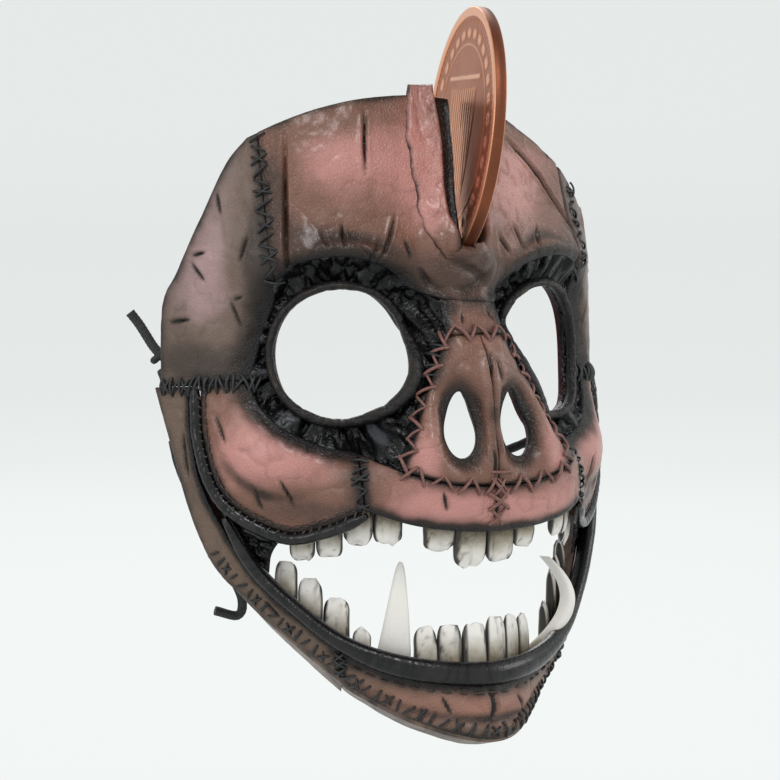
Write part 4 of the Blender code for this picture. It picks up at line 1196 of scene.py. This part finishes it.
def black_strips(finish):
    half = CHIN_LIP[:-1] + JAW_LIP[:2:-1] + [(73, -50.5)]
    columns = 520
    broad = 4.0 + 3.2 * np.exp(-(((np.linspace(0, 1, columns) - 0.5) / 0.2) ** 4))
    line = smooth_line(shifted(across_face(half), 2.3))
    nodes = ["lower_lip_band"]
    roll("lower_lip_roll", line, broad, 5.4, columns, finish, "black_leather", nodes, lift=0.2, texture=0.12)
    for side, word in SIDES:
        path = on_side(shifted(CHEEK_LIP, 1.4).tolist(), side)
        trim = smooth_line(path)
        nodes = [f"cheek_trim_{word}"]
        roll(f"cheek_edge_roll_{word}", trim, 3.8, 3.8, 300, finish, "black_leather", nodes, side, 0.0, 0.5)


def mouth_web(side, word, finish):
    """The pleated black fold that closes each corner of the mouth behind the lips."""
    top = [(79.5, -20), (76.5, -36), (66.5, -50.5), (56.0, -57.0)]
    bottom = [(83.0, -21), (80.5, -38), (68.5, -59), (59.5, -66.5)]
    lines = (bottom, top, [bottom[0], top[0]], [bottom[-1], (58.5, -61.0), top[-1]])

    def skin(across, height):
        spokes = folds(height * 1.2 - np.abs(across) * 0.3, np.abs(across) * 0.3, 3.0, 2)
        # The second value darkens the folds: painted shade.
        return 0.6 - 2.0 * spokes**2, 0.6 * spokes, 0 * across

    names = f"mouth_corner_fold_{word}", f"mouth_corner_web_{word}"
    options = dict(gap=0.1, skin=skin, thick=1.6, lift=-2.2, step=0.4, dark=0.3)
    return sewn_panel(*names, lines, (52, 9), finish, "black_leather", side, -side, **options)


def hem_strip(name, points, length, drop, finish, nodes):
    """The pale strip sewn under a lower edge, with a wavy cut edge."""
    line = smooth_line(points)
    columns, rows = int(length / 0.6), 16
    s, t = np.meshgrid(np.linspace(0, 1, columns), np.linspace(0, 1, rows))
    here = line(s)
    edge = face_point(here, 0.0)
    inward = towards_axis(edge)
    wave = 0.5 * (clouds(here[..., 0], here[..., 1] + 9, 6, 3, 2) - 0.5)
    low = 0.7 - drop * t + wave * t
    outer = edge + inward * (0.5 + 8.0 * t)[..., None] + np.stack([0 * s, 0 * s, low], -1)
    inner = outer + np.stack([0 * s, 0 * s, 0 * s + 1.6], -1) + inward * 0.8
    inner[..., 2] = outer[..., 2] - 1.6
    faces = grid_faces(rows, columns)
    # Painted shade in the folds; the strip is also paler towards its outer edge.
    dark = 0.55 * folds(here[..., 0], 9 * t, 5, 3) ** 2
    paints = {"ink": dark.reshape(-1), "blush": (0.2 - dark).reshape(-1), "wear_and_highlight": (0.4 * (1 - t)).reshape(-1)}
    made = closed_shell(name, inner.reshape(-1, 3), outer.reshape(-1, 3), faces, paints, finish)
    inside = made.data.attributes["inside"]
    inside.data.foreach_set("value", np.zeros(len(made.data.vertices), np.float32))
    return place_piece(made, nodes)


# ---- Teeth and tusks ----
UPPER_LINE = MUZZLE_LIP + CHEEK_LIP[:2:-1]
LOWER_LINE = CHIN_LIP + JAW_LIP[:1:-1]

# Each tooth: where it stands across the face, its width, and its free edge's distance from the mouth's edge.
UPPER_FRONT = [(-12.8, 8.3, -6.8), (-4.3, 9.0, -10.6), (4.3, 8.2, -9.8), (11.8, 7.0, -6.8)]
UPPER_SIDE = [(25.8, 7.2, -8.0), (33.2, 7.5, -9.6), (40.8, 7.7, -9.8), (48.6, 7.8, -9.2)]
LOWER_FRONT = [
    (-13.7, 6.2, 14.0),
    (-7.4, 6.5, 15.4),
    (-0.4, 7.3, 16.6),
    (7.1, 7.4, 16.9),
    (14.3, 6.9, 15.8),
    (21.2, 6.7, 14.4),
]
LOWER_SIDE = {
    -1: [(38.7, 8.0, 14.2), (46.6, 7.8, 13.4), (54.3, 7.6, 12.2)],
    1: [(45.5, 6.0, 12.4), (51.5, 6.0, 11.6), (57.4, 5.8, 10.6)],
}
LOWER_SINGLE = {-1: [(31.2, 5.4, 8.5)], 1: [(39.3, 4.6, 7.5)]}


def height_on(points, across):
    rows = np.array(sorted((abs(p[0]), p[1]) for p in points))
    return np.interp(np.abs(across), rows[:, 0], rows[:, 1])


def hang(across, height, edge_height, back):
    """A place straight above or below a mouth edge, `back` behind its outer face."""
    at_edge = outer_point(across, edge_height)
    inward = towards_axis(at_edge)
    place = at_edge + inward * np.broadcast_to(back, across.shape)[..., None]
    place[..., 2] = height
    return place


def loft(rings, around):
    """Faces of a closed body made of rings of points, with both ends capped."""
    faces = grid_faces(rings, around, closed=True).tolist()
    faces.append(list(range(around))[::-1])
    faces.append([(rings - 1) * around + k for k in range(around)])
    return faces


def superoval(turn, flat, deep):
    """Sideways and depthways places round a section with squared-off corners."""
    u, d = np.cos(turn), np.sin(turn)
    return np.sign(u) * np.abs(u) ** flat, np.sign(d) * np.abs(d) ** deep


def tooth(centre, width, free, line, back, thick, seed):
    """(points, faces, root share, and painted shade share in the gaps and grooves) of one carved leather tooth.
    """
    rings, around = 22, 32
    v = np.linspace(0, 1, rings)[:, None]
    turn = np.linspace(0, 2 * np.pi, around, endpoint=False)[None]
    edge = float(height_on(line, np.array(centre)))
    root = -7.0 if free > 0 else 6.0
    tip = np.clip((v - 0.78) / 0.22, 0, 1)
    half = 0.5 * width * (0.95 + 0.05 * np.sin(np.pi * np.clip(v * 0.95, 0, 1)))
    half = half * (1 - 0.2 * tip**2.4)
    u, d = superoval(turn, 0.55, 0.8)
    across = centre + half * u + 0.35 * (clouds(v * 9, turn * 0 + seed, 3, 2) - 0.5)
    crown = 2.0 * (clouds(u * 2.4 + seed, 0 * v + seed, 0.9, 3, 2) - 0.5) * tip * min(abs(free) / 8, 1)
    height = edge + root + (free - root) * v + crown * np.sign(free) - 0.8 * tip**2 * u**4 * np.sign(free)
    groove = folds(across * 1.3 + seed, v * 3, 2.2, 1) ** 3
    depth = thick * (0.5 - 0.14 * v) * (1 - 0.6 * tip**2) * d
    depth = depth - np.where(d < 0, 1, 0) * (0.7 * np.sin(np.pi * v) - 0.55 * groove)
    points = hang(across, height, edge, back + thick / 2 + depth)
    # Painted shade on the tooth's sides and in its grooves.
    gap = np.clip(np.abs(u) ** 5 * 1.1 + 0.6 * groove, 0, 1) * (v * 0 + 1)
    start = (abs(root) - 2.5) / (abs(root) + abs(free))
    shade_at = np.clip((v - start) / (1 - start), 0, 1)
    rootward = (1 - shade_at) ** 0.65 + 0.0 * turn
    faces = loft(rings, around)
    if free < 0:
        faces = [face[::-1] for face in faces]
    return points.reshape(-1, 3), faces, rootward.reshape(-1), gap.reshape(-1)


def teeth(name, rows, line, back, finish, nodes, side=1, thick=3.4):
    points, faces, roots, gap_shades = [], [], [], []
    total = 0
    for k, (centre, width, free) in enumerate(rows):
        p, f, r, g = tooth(side * centre, width, free, line, back, thick, 3.7 * k + 11 * side + back)
        faces += [[i + total for i in face] for face in f]
        points.append(p)
        roots.append(r)
        gap_shades.append(g)
        total += len(p)
    paints = {"blush": np.concatenate(roots), "ink": np.concatenate(gap_shades)}
    made = plain_mesh(name, np.vstack(points), faces, paints, finish, 60)
    return place_piece(made, nodes)


# Each tusk's distance from the mid-line, lean, bow, height and thickness.
TUSKS = {-1: (23.0, 1.8, 1.2, 37, 3.4), 1: (31.0, 1.5, 8.0, 32, 6.4)}


def tusk(side, word, finish):
    """A flat-backed leather tusk with a bevelled edge, straight on the right and bowed on the left."""
    rings, around = 44, 28
    v = np.linspace(0, 1, rings)[:, None]
    turn = np.linspace(0, 2 * np.pi, around, endpoint=False)[None]
    centre, lean, bow, tall, thick = TUSKS[side]
    edge = float(height_on(LOWER_LINE, np.array(side * centre)))
    half = 0.5 * (10.0 * (1 - v) ** 0.85 + 1.6)
    half = half * np.sqrt(np.clip(1 - ((v - 0.93) / 0.07).clip(0, 1) ** 2 * 0.8, 0, 1))
    u, d = superoval(turn, 0.8, 0.8)
    arch = np.sin(np.pi * np.clip(v * 1.02 - 0.1, 0, 1))
    across = centre + half * u - lean * v + bow * arch
    height = edge - 5 + tall * v
    depth = thick * (0.5 - 0.2 * v) * d - np.where(d < 0, 0.5 * (1 - v), 0)
    depth = depth + 0.25 * (clouds(u * 3, v * 14, 2.0, 3, 2) - 0.5)
    points = hang(side * across, height, edge, 7.5 + depth)
    outwards = side * 0.5 * arch * (bow - 1.2) + 0 * u
    forwards = -(2.0 + 0.9 * bow) * arch - 2 * v + 0 * u
    forward = np.stack([outwards, forwards, 0 * outwards], -1)
    points = (points + forward).reshape(-1, 3)
    faces = loft(rings, around)
    if side < 0:
        faces = [face[::-1] for face in faces]
    base = np.clip(1 - (v - 0.14) / 0.3, 0, 1) * (turn * 0 + 1) * 0.8
    # Painted shade: one side of the tusk and its edges are darker.
    rim = 0.45 * np.clip(side * u, 0, 1) ** 4 + 0.35 * np.abs(u) ** 10 * (1 - v)
    paints = {"blush": base.reshape(-1), "ink": rim.reshape(-1)}
    made = plain_mesh(f"leather_tusk_{word}", points, faces, paints, finish)
    return place_piece(made, [f"tusk_{word}"])


# ---- The coin ----
def coin_relief(radius, turn):
    """Height above the coin's field: a rim, a ring of beads, a leafy border and a striped fan."""
    rim = 0.5 * ease(34.9, 35.6, radius)
    beads = 0.22 * np.exp(-(((radius - 34.0) / 0.55) ** 2)) * np.clip(np.cos(turn * 96), 0, 1)
    leaf = turn * 30 / (2 * np.pi)
    leaf = np.abs(leaf - np.round(leaf)) * 2
    border = np.clip(1 - (leaf / 0.7) ** 2 - ((radius - 30.0) / 1.9) ** 2, 0, 1) ** 0.5 * 0.3
    border = border - 0.12 * np.exp(-((leaf / 0.1) ** 2)) * (border > 0)
    ring = 0.2 * np.exp(-(((radius - 26.6) / 0.35) ** 2))
    x, y = radius * np.cos(turn), radius * np.sin(turn)
    tall = (x + 14) / 34
    shield = ease(0, 0.04, tall) * ease(1.02, 0.96, tall) * ease(12.5, 11.7, np.abs(y) + 6 * tall**2)
    stripes = 0.24 * shield * (0.35 + 0.65 * np.clip(1.4 * np.cos(2 * np.pi * (y * 0.42)), 0, 1))
    frame_line = 0.22 * np.exp(-(((np.abs(y) + 6 * tall**2 - 13.0) / 0.5) ** 2))
    frame_line = frame_line * ease(0, 0.04, tall) * ease(1.1, 1.0, tall)
    base = 0.26 * ease(0.6, 0.2, np.abs(x + 16.5) / 1.6) * ease(17, 16.4, np.abs(y))
    wear = 0.04 * (clouds(x + 50, y + 50, 3, 3, 2) - 0.5)
    return rim + beads + border + ring + stripes + frame_line + base + wear


def coin(finish):
    turns, radii = 480, np.concatenate([np.linspace(0.4, 33, 86), np.linspace(33.2, 37.3, 26)])
    turn = np.linspace(0, 2 * np.pi, turns, endpoint=False)
    a, r = np.meshgrid(turn, radii)
    high = COIN_THICK / 2 - 0.5 + coin_relief(r, a)
    half = COIN_THICK / 2
    rows = [np.stack([r * np.cos(a), r * np.sin(a), high], -1)]
    rounding = [(37.75, half - 0.1), (38.05, half - 0.45), (COIN_RADIUS, 0.0)]
    for reach, level in rounding + [(reach, -level) for reach, level in rounding[1::-1]]:
        rows.append(np.stack([reach * np.cos(turn), reach * np.sin(turn), 0 * turn + level], -1)[None])
    rows.append(np.stack([r * np.cos(a), r * np.sin(a), -high], -1)[::-1])
    points = np.vstack(rows)
    raised = coin_relief(r, a)
    up = np.clip(raised / 0.3, 0, 1)
    low = np.clip(1 - raised / 0.16, 0, 1) * 0.35
    edge = np.full((5, turns), 0.85)
    edge[0], edge[4] = 0.1, 0.1
    ink = np.vstack([low, edge, low[::-1]])
    wear_and_highlight = np.vstack([up, 1 - edge, up[::-1]])
    faces = [face[::-1] for face in loft(len(points), turns)]
    pose = Euler((0, math.radians(90 + COIN_LEAN), math.radians(-COIN_YAW))).to_matrix()
    placed = points.reshape(-1, 3) @ np.array(pose).T + np.array(COIN_CENTRE)
    paints = {"ink": ink.reshape(-1), "wear_and_highlight": wear_and_highlight.reshape(-1)}
    made = plain_mesh("copper_coin", placed, faces, paints, finish, 50)
    return place_piece(made, ["coin"], "coin")


# ---- Elastics, knots and loose ends ----
UPPER_RIGHT = [
    (-70.5, 47.6, -7.2), (-67.5, 49.6, -13), (-64.5, 51.5, -21),
    (-58, 53.5, -30), (-46, 55.5, -37), (-25, 57.5, -42),
]
UPPER_LEFT = [
    (27, 57.5, -42.5), (52, 55, -38), (68, 51, -31.5),
    (74.5, 47, -22.5), (76.4, 44.6, -13), (76.8, 43.6, -7.2),
]
LOWER_RIGHT = [
    (-65.0, 45.2, -29.8), (-62.0, 46.2, -35), (-55, 47.4, -39.5),
    (-42, 48.6, -44), (-22, 49.5, -48),
]
LOWER_LEFT = [
    (22, 49.5, -48), (43, 48, -44), (62, 45.0, -39.5),
    (71, 43.4, -34), (73.4, 42.8, -29.8),
]
UPPER_ROUTE = UPPER_RIGHT + [(0, 58.5, -44)] + UPPER_LEFT
LOWER_ROUTE = LOWER_RIGHT + [(0, 50, -49)] + LOWER_LEFT
UPPER_KNOTS = [(-71.5, 46.0, -2.5), (77.0, 43.0, -2.5)]
LOWER_KNOTS = [(-66.5, 44.0, -25.2), (74.0, 42.0, -25.2)]
UPPER_TAILS = [
    [(-72.6, 49.4, 0.4), (-73.8, 51.3, 3.4), (-75.2, 53.4, 6.8), (-77.6, 54.8, 10.4)],
    [(78.0, 46.4, 0.4), (78.6, 48.3, 3.0), (79.0, 50.6, 5.0)],
]
LOWER_TAILS = [
    [
        (-66.4, 48.4, -28.6), (-63.5, 49.8, -37), (-56.5, 50, -52), (-47.5, 50, -68),
        (-42.4, 50, -78), (-43.0, 51, -83.6), (-50, 53, -82),
    ],
    [(75.0, 45.2, -28.4), (75.6, 46.2, -36), (75.4, 45.4, -52), (74.2, 44.2, -68), (76.0, 44.4, -81)],
]


def swept(name, path, radius, finish, around=14, ridges=0.06):
    """A round cord swept along places in millimetres, with a braid of fine ridges."""
    along = unit(np.gradient(path, axis=0))
    side = [unit(np.cross(along[0], [0.3, 0.2, 1.0]))]
    for tangent in along[1:]:
        last = side[-1]
        side.append(unit(last - tangent * (last @ tangent)))
    side = np.array(side)
    over = np.cross(along, side)
    turn = np.linspace(0, 2 * np.pi, around, endpoint=False)
    length = np.concatenate([[0], np.cumsum(np.linalg.norm(np.diff(path, axis=0), axis=1))])
    braid = 1 - ridges * (0.5 + 0.5 * np.cos(turn[None] * 4 + length[:, None] * 5))
    ring = (side[:, None] * np.cos(turn)[None, :, None] + over[:, None] * np.sin(turn)[None, :, None])
    points = path[:, None] + ring * (radius * braid)[..., None]
    return plain_mesh(name, points.reshape(-1, 3), loft(len(path), around), {"ink": 0.0}, finish)


def knot(name, centre, finish):
    """An overhand knot: a short cord wound on itself."""
    turn = np.linspace(0.2, 2 * np.pi * 1.46, 60)
    path = np.stack(
        [
            1.55 * np.sin(turn) + 0.7 * np.sin(2 * turn),
            1.55 * np.cos(turn) - 0.7 * np.cos(2 * turn),
            -1.5 * np.sin(1.5 * turn),
        ],
        -1,
    )
    return swept(name, path + np.array(centre), 1.15, finish, 10)


def cords(finish):
    levels = (
        ("upper", UPPER_ROUTE, UPPER_KNOTS, UPPER_TAILS),
        ("lower", LOWER_ROUTE, LOWER_KNOTS, LOWER_TAILS),
    )
    for level, route, knots, tails in levels:
        path = smooth_line(route)(np.linspace(0, 1, 200))
        main = swept(f"{level}_elastic", path, CORD_THICK / 2, finish)
        place_piece(main, [f"elastic_cord_{level}"])
        for word, centre, tail in zip(("right", "left"), knots, tails):
            tied = knot(f"{level}_knot_{word}", centre, finish)
            place_piece(tied, [f"{level}_cord_knot_{word}"])
            starts = [centre] if level == "upper" else []
            end = smooth_line(starts + tail)(np.linspace(0, 1, 60))
            loose = swept(f"{level}_loose_end_{word}", end, CORD_THICK / 2, finish)
            place_piece(loose, [f"{level}_cord_tail_{word}"])
            if level == "upper":
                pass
            else:
                (end[0] * MM).tolist()
                (end * MM).tolist()
        (path[0] * MM).tolist()
        (path * MM).tolist()


# ---- Stitches ----
def stitch_tree():
    """Geometry nodes: one bowed thread stitch on each point, turned by the point's own directions."""
    tree = bpy.data.node_groups.new("thread_stitches", "GeometryNodeTree")
    face = tree.interface
    face.new_socket("Geometry", in_out="INPUT", socket_type="NodeSocketGeometry")
    for label in ("Stitch Length", "Thread Thickness", "Rise", "Sink"):
        face.new_socket(label, in_out="INPUT", socket_type="NodeSocketFloat")
    face.new_socket("Seed", in_out="INPUT", socket_type="NodeSocketInt")
    face.new_socket("Thread", in_out="INPUT", socket_type="NodeSocketMaterial")
    face.new_socket("Geometry", in_out="OUTPUT", socket_type="NodeSocketGeometry")

    def node(kind, settings, **inputs):
        made = tree.nodes.new(kind)
        for key, value in settings.items():
            setattr(made, key, value)
        for key, value in inputs.items():
            socket = made.inputs[key.replace("_", " ")]
            if isinstance(value, bpy.types.NodeSocket):
                tree.links.new(value, socket)
            else:
                socket.default_value = value
        return made.outputs

    given = tree.nodes.new("NodeGroupInput").outputs

    def half(socket, share):
        made = tree.nodes.new("ShaderNodeMath")
        made.operation = "MULTIPLY"
        tree.links.new(socket, made.inputs[0])
        made.inputs[1].default_value = share
        return made.outputs[0]

    start = node("ShaderNodeCombineXYZ", {}, X=half(given["Stitch Length"], -0.5), Z=given["Sink"])
    middle = node("ShaderNodeCombineXYZ", {}, Z=given["Rise"])
    end = node("ShaderNodeCombineXYZ", {}, X=half(given["Stitch Length"], 0.5), Z=given["Sink"])
    bow = node(
        "GeometryNodeCurveQuadraticBezier", {}, Resolution=7, Start=start[0], Middle=middle[0], End=end[0]
    )
    thread_radius = half(given["Thread Thickness"], 0.5)
    ring = node("GeometryNodeCurvePrimitiveCircle", {}, Resolution=7, Radius=thread_radius)
    tube = node("GeometryNodeCurveToMesh", {}, Curve=bow["Curve"], Profile_Curve=ring["Curve"], Fill_Caps=True)
    way = node("GeometryNodeInputNamedAttribute", dict(data_type="FLOAT_VECTOR"), Name="way")
    out = node("GeometryNodeInputNamedAttribute", dict(data_type="FLOAT_VECTOR"), Name="out")
    first = node("FunctionNodeAlignRotationToVector", dict(axis="X"), Vector=way["Attribute"])
    both = node(
        "FunctionNodeAlignRotationToVector", dict(axis="Z", pivot_axis="X"),
        Rotation=first["Rotation"], Vector=out["Attribute"],
    )
    size = node("FunctionNodeRandomValue", dict(data_type="FLOAT"), Seed=given["Seed"])
    chance = [o for o in size if o.enabled][0]
    for socket in [s for s in chance.node.inputs if s.enabled and s.name in ("Min", "Max")]:
        socket.default_value = 0.8 if socket.name == "Min" else 1.15
    points = node("GeometryNodeMeshToPoints", {}, Mesh=given["Geometry"])
    copies = node(
        "GeometryNodeInstanceOnPoints", {},
        Points=points["Points"], Instance=tube["Mesh"], Rotation=both["Rotation"], Scale=chance,
    )
    real = node("GeometryNodeRealizeInstances", {}, Geometry=copies["Instances"])
    smooth = node("GeometryNodeSetShadeSmooth", {}, Geometry=real["Geometry"])
    dyed = node("GeometryNodeSetMaterial", {}, Geometry=smooth["Geometry"], Material=given["Thread"])
    tree.links.new(dyed["Geometry"], tree.nodes.new("NodeGroupOutput").inputs["Geometry"])
    return tree


class Sewing:
    """Gathers stitch places for one thread, then turns them into one plain mesh."""

    def __init__(self, tree, seed):
        self.tree, self.seed = tree, seed
        self.dice = np.random.default_rng(seed)
        self.places, self.ways, self.outs = [], [], []

    def along(self, points, spacing, lean, lift=0.5, wobble=8.0, side=1):
        """Stitches every `spacing` on a chart line; `lean` lists their angles to it, in turn, in degrees."""
        path = smooth_line(on_side(points, side))(np.linspace(0, 1, 400))
        length = np.concatenate([[0], np.cumsum(np.linalg.norm(np.diff(path, axis=0), axis=1))])
        stops = np.arange(spacing / 2, length[-1], spacing)
        stops = stops + self.dice.uniform(-0.12, 0.12, len(stops)) * spacing
        chart = np.stack([np.interp(stops, length, path[:, k]) for k in (0, 1)], -1)
        ahead = np.stack([np.interp(stops + 0.5, length, path[:, k]) for k in (0, 1)], -1)
        behind = np.stack([np.interp(stops - 0.5, length, path[:, k]) for k in (0, 1)], -1)
        out = outward(chart[:, 0], chart[:, 1])
        forward = unit(face_point(ahead) - face_point(behind))
        beside = np.cross(out, forward)
        for k in range(len(stops)):
            angles = lean[k % len(lean)]
            for angle in angles if isinstance(angles, tuple) else (angles,):
                turn = math.radians(angle + self.dice.uniform(-wobble, wobble))
                self.places.append(face_point(chart[k], lift))
                self.ways.append(forward[k] * math.cos(turn) + beside[k] * math.sin(turn))
                self.outs.append(out[k])

    def sew(self, name, length, thick, rise, finish, sink=-0.9):
        mesh = bpy.data.meshes.new(name)
        mesh.from_pydata((np.array(self.places) * MM).tolist(), [], [])
        for key, values in (("way", self.ways), ("out", self.outs)):
            layer = mesh.attributes.new(key, "FLOAT_VECTOR", "POINT")
            layer.data.foreach_set("vector", np.array(values, np.float32).reshape(-1))
        carrier = add_object(name, mesh)
        maker = carrier.modifiers.new("stitches", "NODES")
        maker.node_group = self.tree
        values = {
            "Stitch Length": length * MM,
            "Thread Thickness": thick * MM,
            "Rise": rise * MM,
            "Sink": sink * MM,
            "Seed": self.seed,
            "Thread": finish,
        }
        for item in self.tree.interface.items_tree:
            if item.in_out == "INPUT" and item.name in values:
                maker[item.identifier] = values[item.name]
        ready = carrier.evaluated_get(bpy.context.evaluated_depsgraph_get())
        plain = bpy.data.meshes.new_from_object(ready)
        plain.name = name
        bpy.data.objects.remove(carrier)
        return place_piece(add_object(name, plain))


def all_stitches(black, pink, brown):
    tree = stitch_tree()
    sides = [side for side, _ in SIDES]

    temples = Sewing(tree, 3)
    for side in sides:
        seam = TEMPLE_SEAM + [(TEMPLE_CORNER, top_height(side * TEMPLE_CORNER) - 1)]
        temples.along(seam, 3.3, [62, -58, (70, -64)], 0.7, side=side)
    temples.sew("temple_seam_stitches", 5.6, 0.75, 1.0, black)

    sides_seam = Sewing(tree, 5)
    for side in sides:
        seam = [(61, -9.4), (72, -9.8), (82, -10.8), (92.5, -11.4)]
        sides_seam.along(seam, 1.7, [80, (62, -70), 100, 68], 0.7, 22, side)
    sides_seam.sew("side_seam_stitches", 5.6, 0.9, 1.5, black)

    lacing = Sewing(tree, 7)
    for side in sides:
        lacing.along(NOSE_SIDE, 3.2, [48, -52], 0.7, side=side)
    lacing.along([(-9.4, 5.2), (0, 5.6), (9.4, 5.2)], 3.0, [55, -60], 0.7)
    lacing.along(across_face([(0, -39), (12, -38), (23.7, -34)]), 3.4, [50, -55], 0.7)
    lacing.sew("nose_lacing", 6.2, 1.0, 1.3, pink)

    crosses = Sewing(tree, 9)
    crosses.along([(0, -37), (0, -51.5)], 4.4, [(38, -38), (52, -52)], 0.9, 5)
    crosses.along([(0.5, -34), (0.5, -37)], 2.0, [88], 0.9, 5)
    crosses.sew("muzzle_cross_stitches", 8.0, 1.05, 1.6, pink)

    muzzle_ends = Sewing(tree, 13)
    for side in sides:
        muzzle_ends.along([(33.0, -30), (33.2, -37), (32.4, -45)], 2.6, [65, -60, (70, -75)], 0.7, 12, side)
        muzzle_ends.along([(15.5, -9), (13, -2), (9.8, 4)], 3.4, [-80], 0.6, 12, side)
    muzzle_ends.sew("cheek_seam_stitches", 5.4, 0.8, 1.2, black)

    lips = Sewing(tree, 17)
    for side in sides:
        braid = shifted(CHEEK_LIP, -2.0)
        lips.along(braid.tolist(), 2.5, [8, -8], 0.3, 5, side)
        lips.along(shifted(CHEEK_LIP, 0.3).tolist(), 2.5, [48], 0.8, 6, side)
    lips.sew("cheek_edge_stitches", 2.4, 0.6, 0.7, brown, -0.6)

    running = Sewing(tree, 19)
    for side in sides:
        running.along(shifted(JAW_LIP[1:], -3.4).tolist(), 4.0, [0], 0.3, 5, side)
    running.along(shifted(across_face(CHIN_LIP), -3.2).tolist(), 4.0, [0], 0.3, 5)
    running.sew("jaw_running_stitches", 3.0, 0.7, 0.6, brown, -0.7)

    whip = Sewing(tree, 23)
    for side in sides:
        whip.along(shifted(JAW_BACK[2:], -2.4).tolist(), 3.2, [60, 80, (45, -50), 70], 0.4, 18, side)
        whip.along([(37.9, -88.5), (37.7, -96)], 2.4, [(60, -60)], 0.8, 10, side)
    whip.along(shifted(across_face(CHIN_HEM), 2.4).tolist(), 3.0, [62, (48, -55), 80], 0.4, 18)
    whip.sew("hem_whip_stitches", 4.2, 0.85, 1.2, black)


def main():
    camera()
    studio()
    pink = painted_leather(
        "pink_leather", (0.47, 0.215, 0.19, 1), (0.17, 0.078, 0.052, 1), (0.02, 0.011, 0.007, 1), 0.36, 0.3
    )
    mauve = painted_leather(
        "mauve_leather", (0.36, 0.235, 0.235, 1), (0.135, 0.09, 0.07, 1), (0.018, 0.013, 0.01, 1), 0.44, 0.16
    )
    brown = painted_leather(
        "brown_leather", (0.26, 0.125, 0.09, 1), (0.125, 0.08, 0.055, 1), (0.012, 0.008, 0.006, 1), 0.4, 0.2
    )
    black = black_leather("black_leather", (0.035, 0.037, 0.043, 1), 0.3, 0.1)
    glossy = black_leather("black_edge_leather", (0.012, 0.011, 0.011, 1), 0.27, 0.3, 0.25)
    bone = bone_leather("bone_leather")
    black_thread = thread("black_thread", (0.006, 0.006, 0.007, 1), 0.4)
    pink_thread = thread("pink_thread", (0.105, 0.045, 0.036, 1), 0.38)
    brown_thread = thread("brown_thread", (0.018, 0.012, 0.01, 1), 0.42)

    cords(elastic("black_elastic"))
    forehead(pink)
    nose_bridge(pink)
    nose(pink)
    muzzle(pink)
    chin(brown)
    black_strips(glossy)
    for side, word in SIDES:
        temple(side, word, mauve)
        slot_lip(side, word, pink)
        socket(side, word, black)
        eye_rim(side, word, brown)
        cheek(side, word, pink)
        mouth_web(side, word, black)
        jaw(side, word, brown)
        hem = on_side([JAW_BACK[2], JAW_BACK[3], JAW_BACK[4], (37.0, -97.4)], side)
        hem_strip(f"under_jaw_hem_{word}", hem, 52, 3.6, brown, [f"under_jaw_strip_{word}"])
        teeth(f"upper_molar_strip_{word}", UPPER_SIDE, UPPER_LINE, 4.6, bone, [f"upper_molars_{word}"], side)
        molars, single = [f"lower_molars_{word}"], [f"lower_premolar_{word}"]
        teeth(f"lower_molar_strip_{word}", LOWER_SIDE[side], LOWER_LINE, 5.0, bone, molars, side)
        teeth(f"lower_single_tooth_{word}", LOWER_SINGLE[side], LOWER_LINE, 5.6, bone, single, side)
        tusk(side, word, bone)
    teeth("upper_front_teeth", UPPER_FRONT, UPPER_LINE, 3.4, bone, ["upper_incisors"])
    teeth("lower_front_teeth", LOWER_FRONT, LOWER_LINE, 5.4, bone, ["lower_incisors"])
    hem_strip("under_chin_hem", across_face(CHIN_HEM), 80, 1.9, brown, ["under_chin_strip"])
    coin(copper("copper"))
    all_stitches(black_thread, pink_thread, brown_thread)


main()
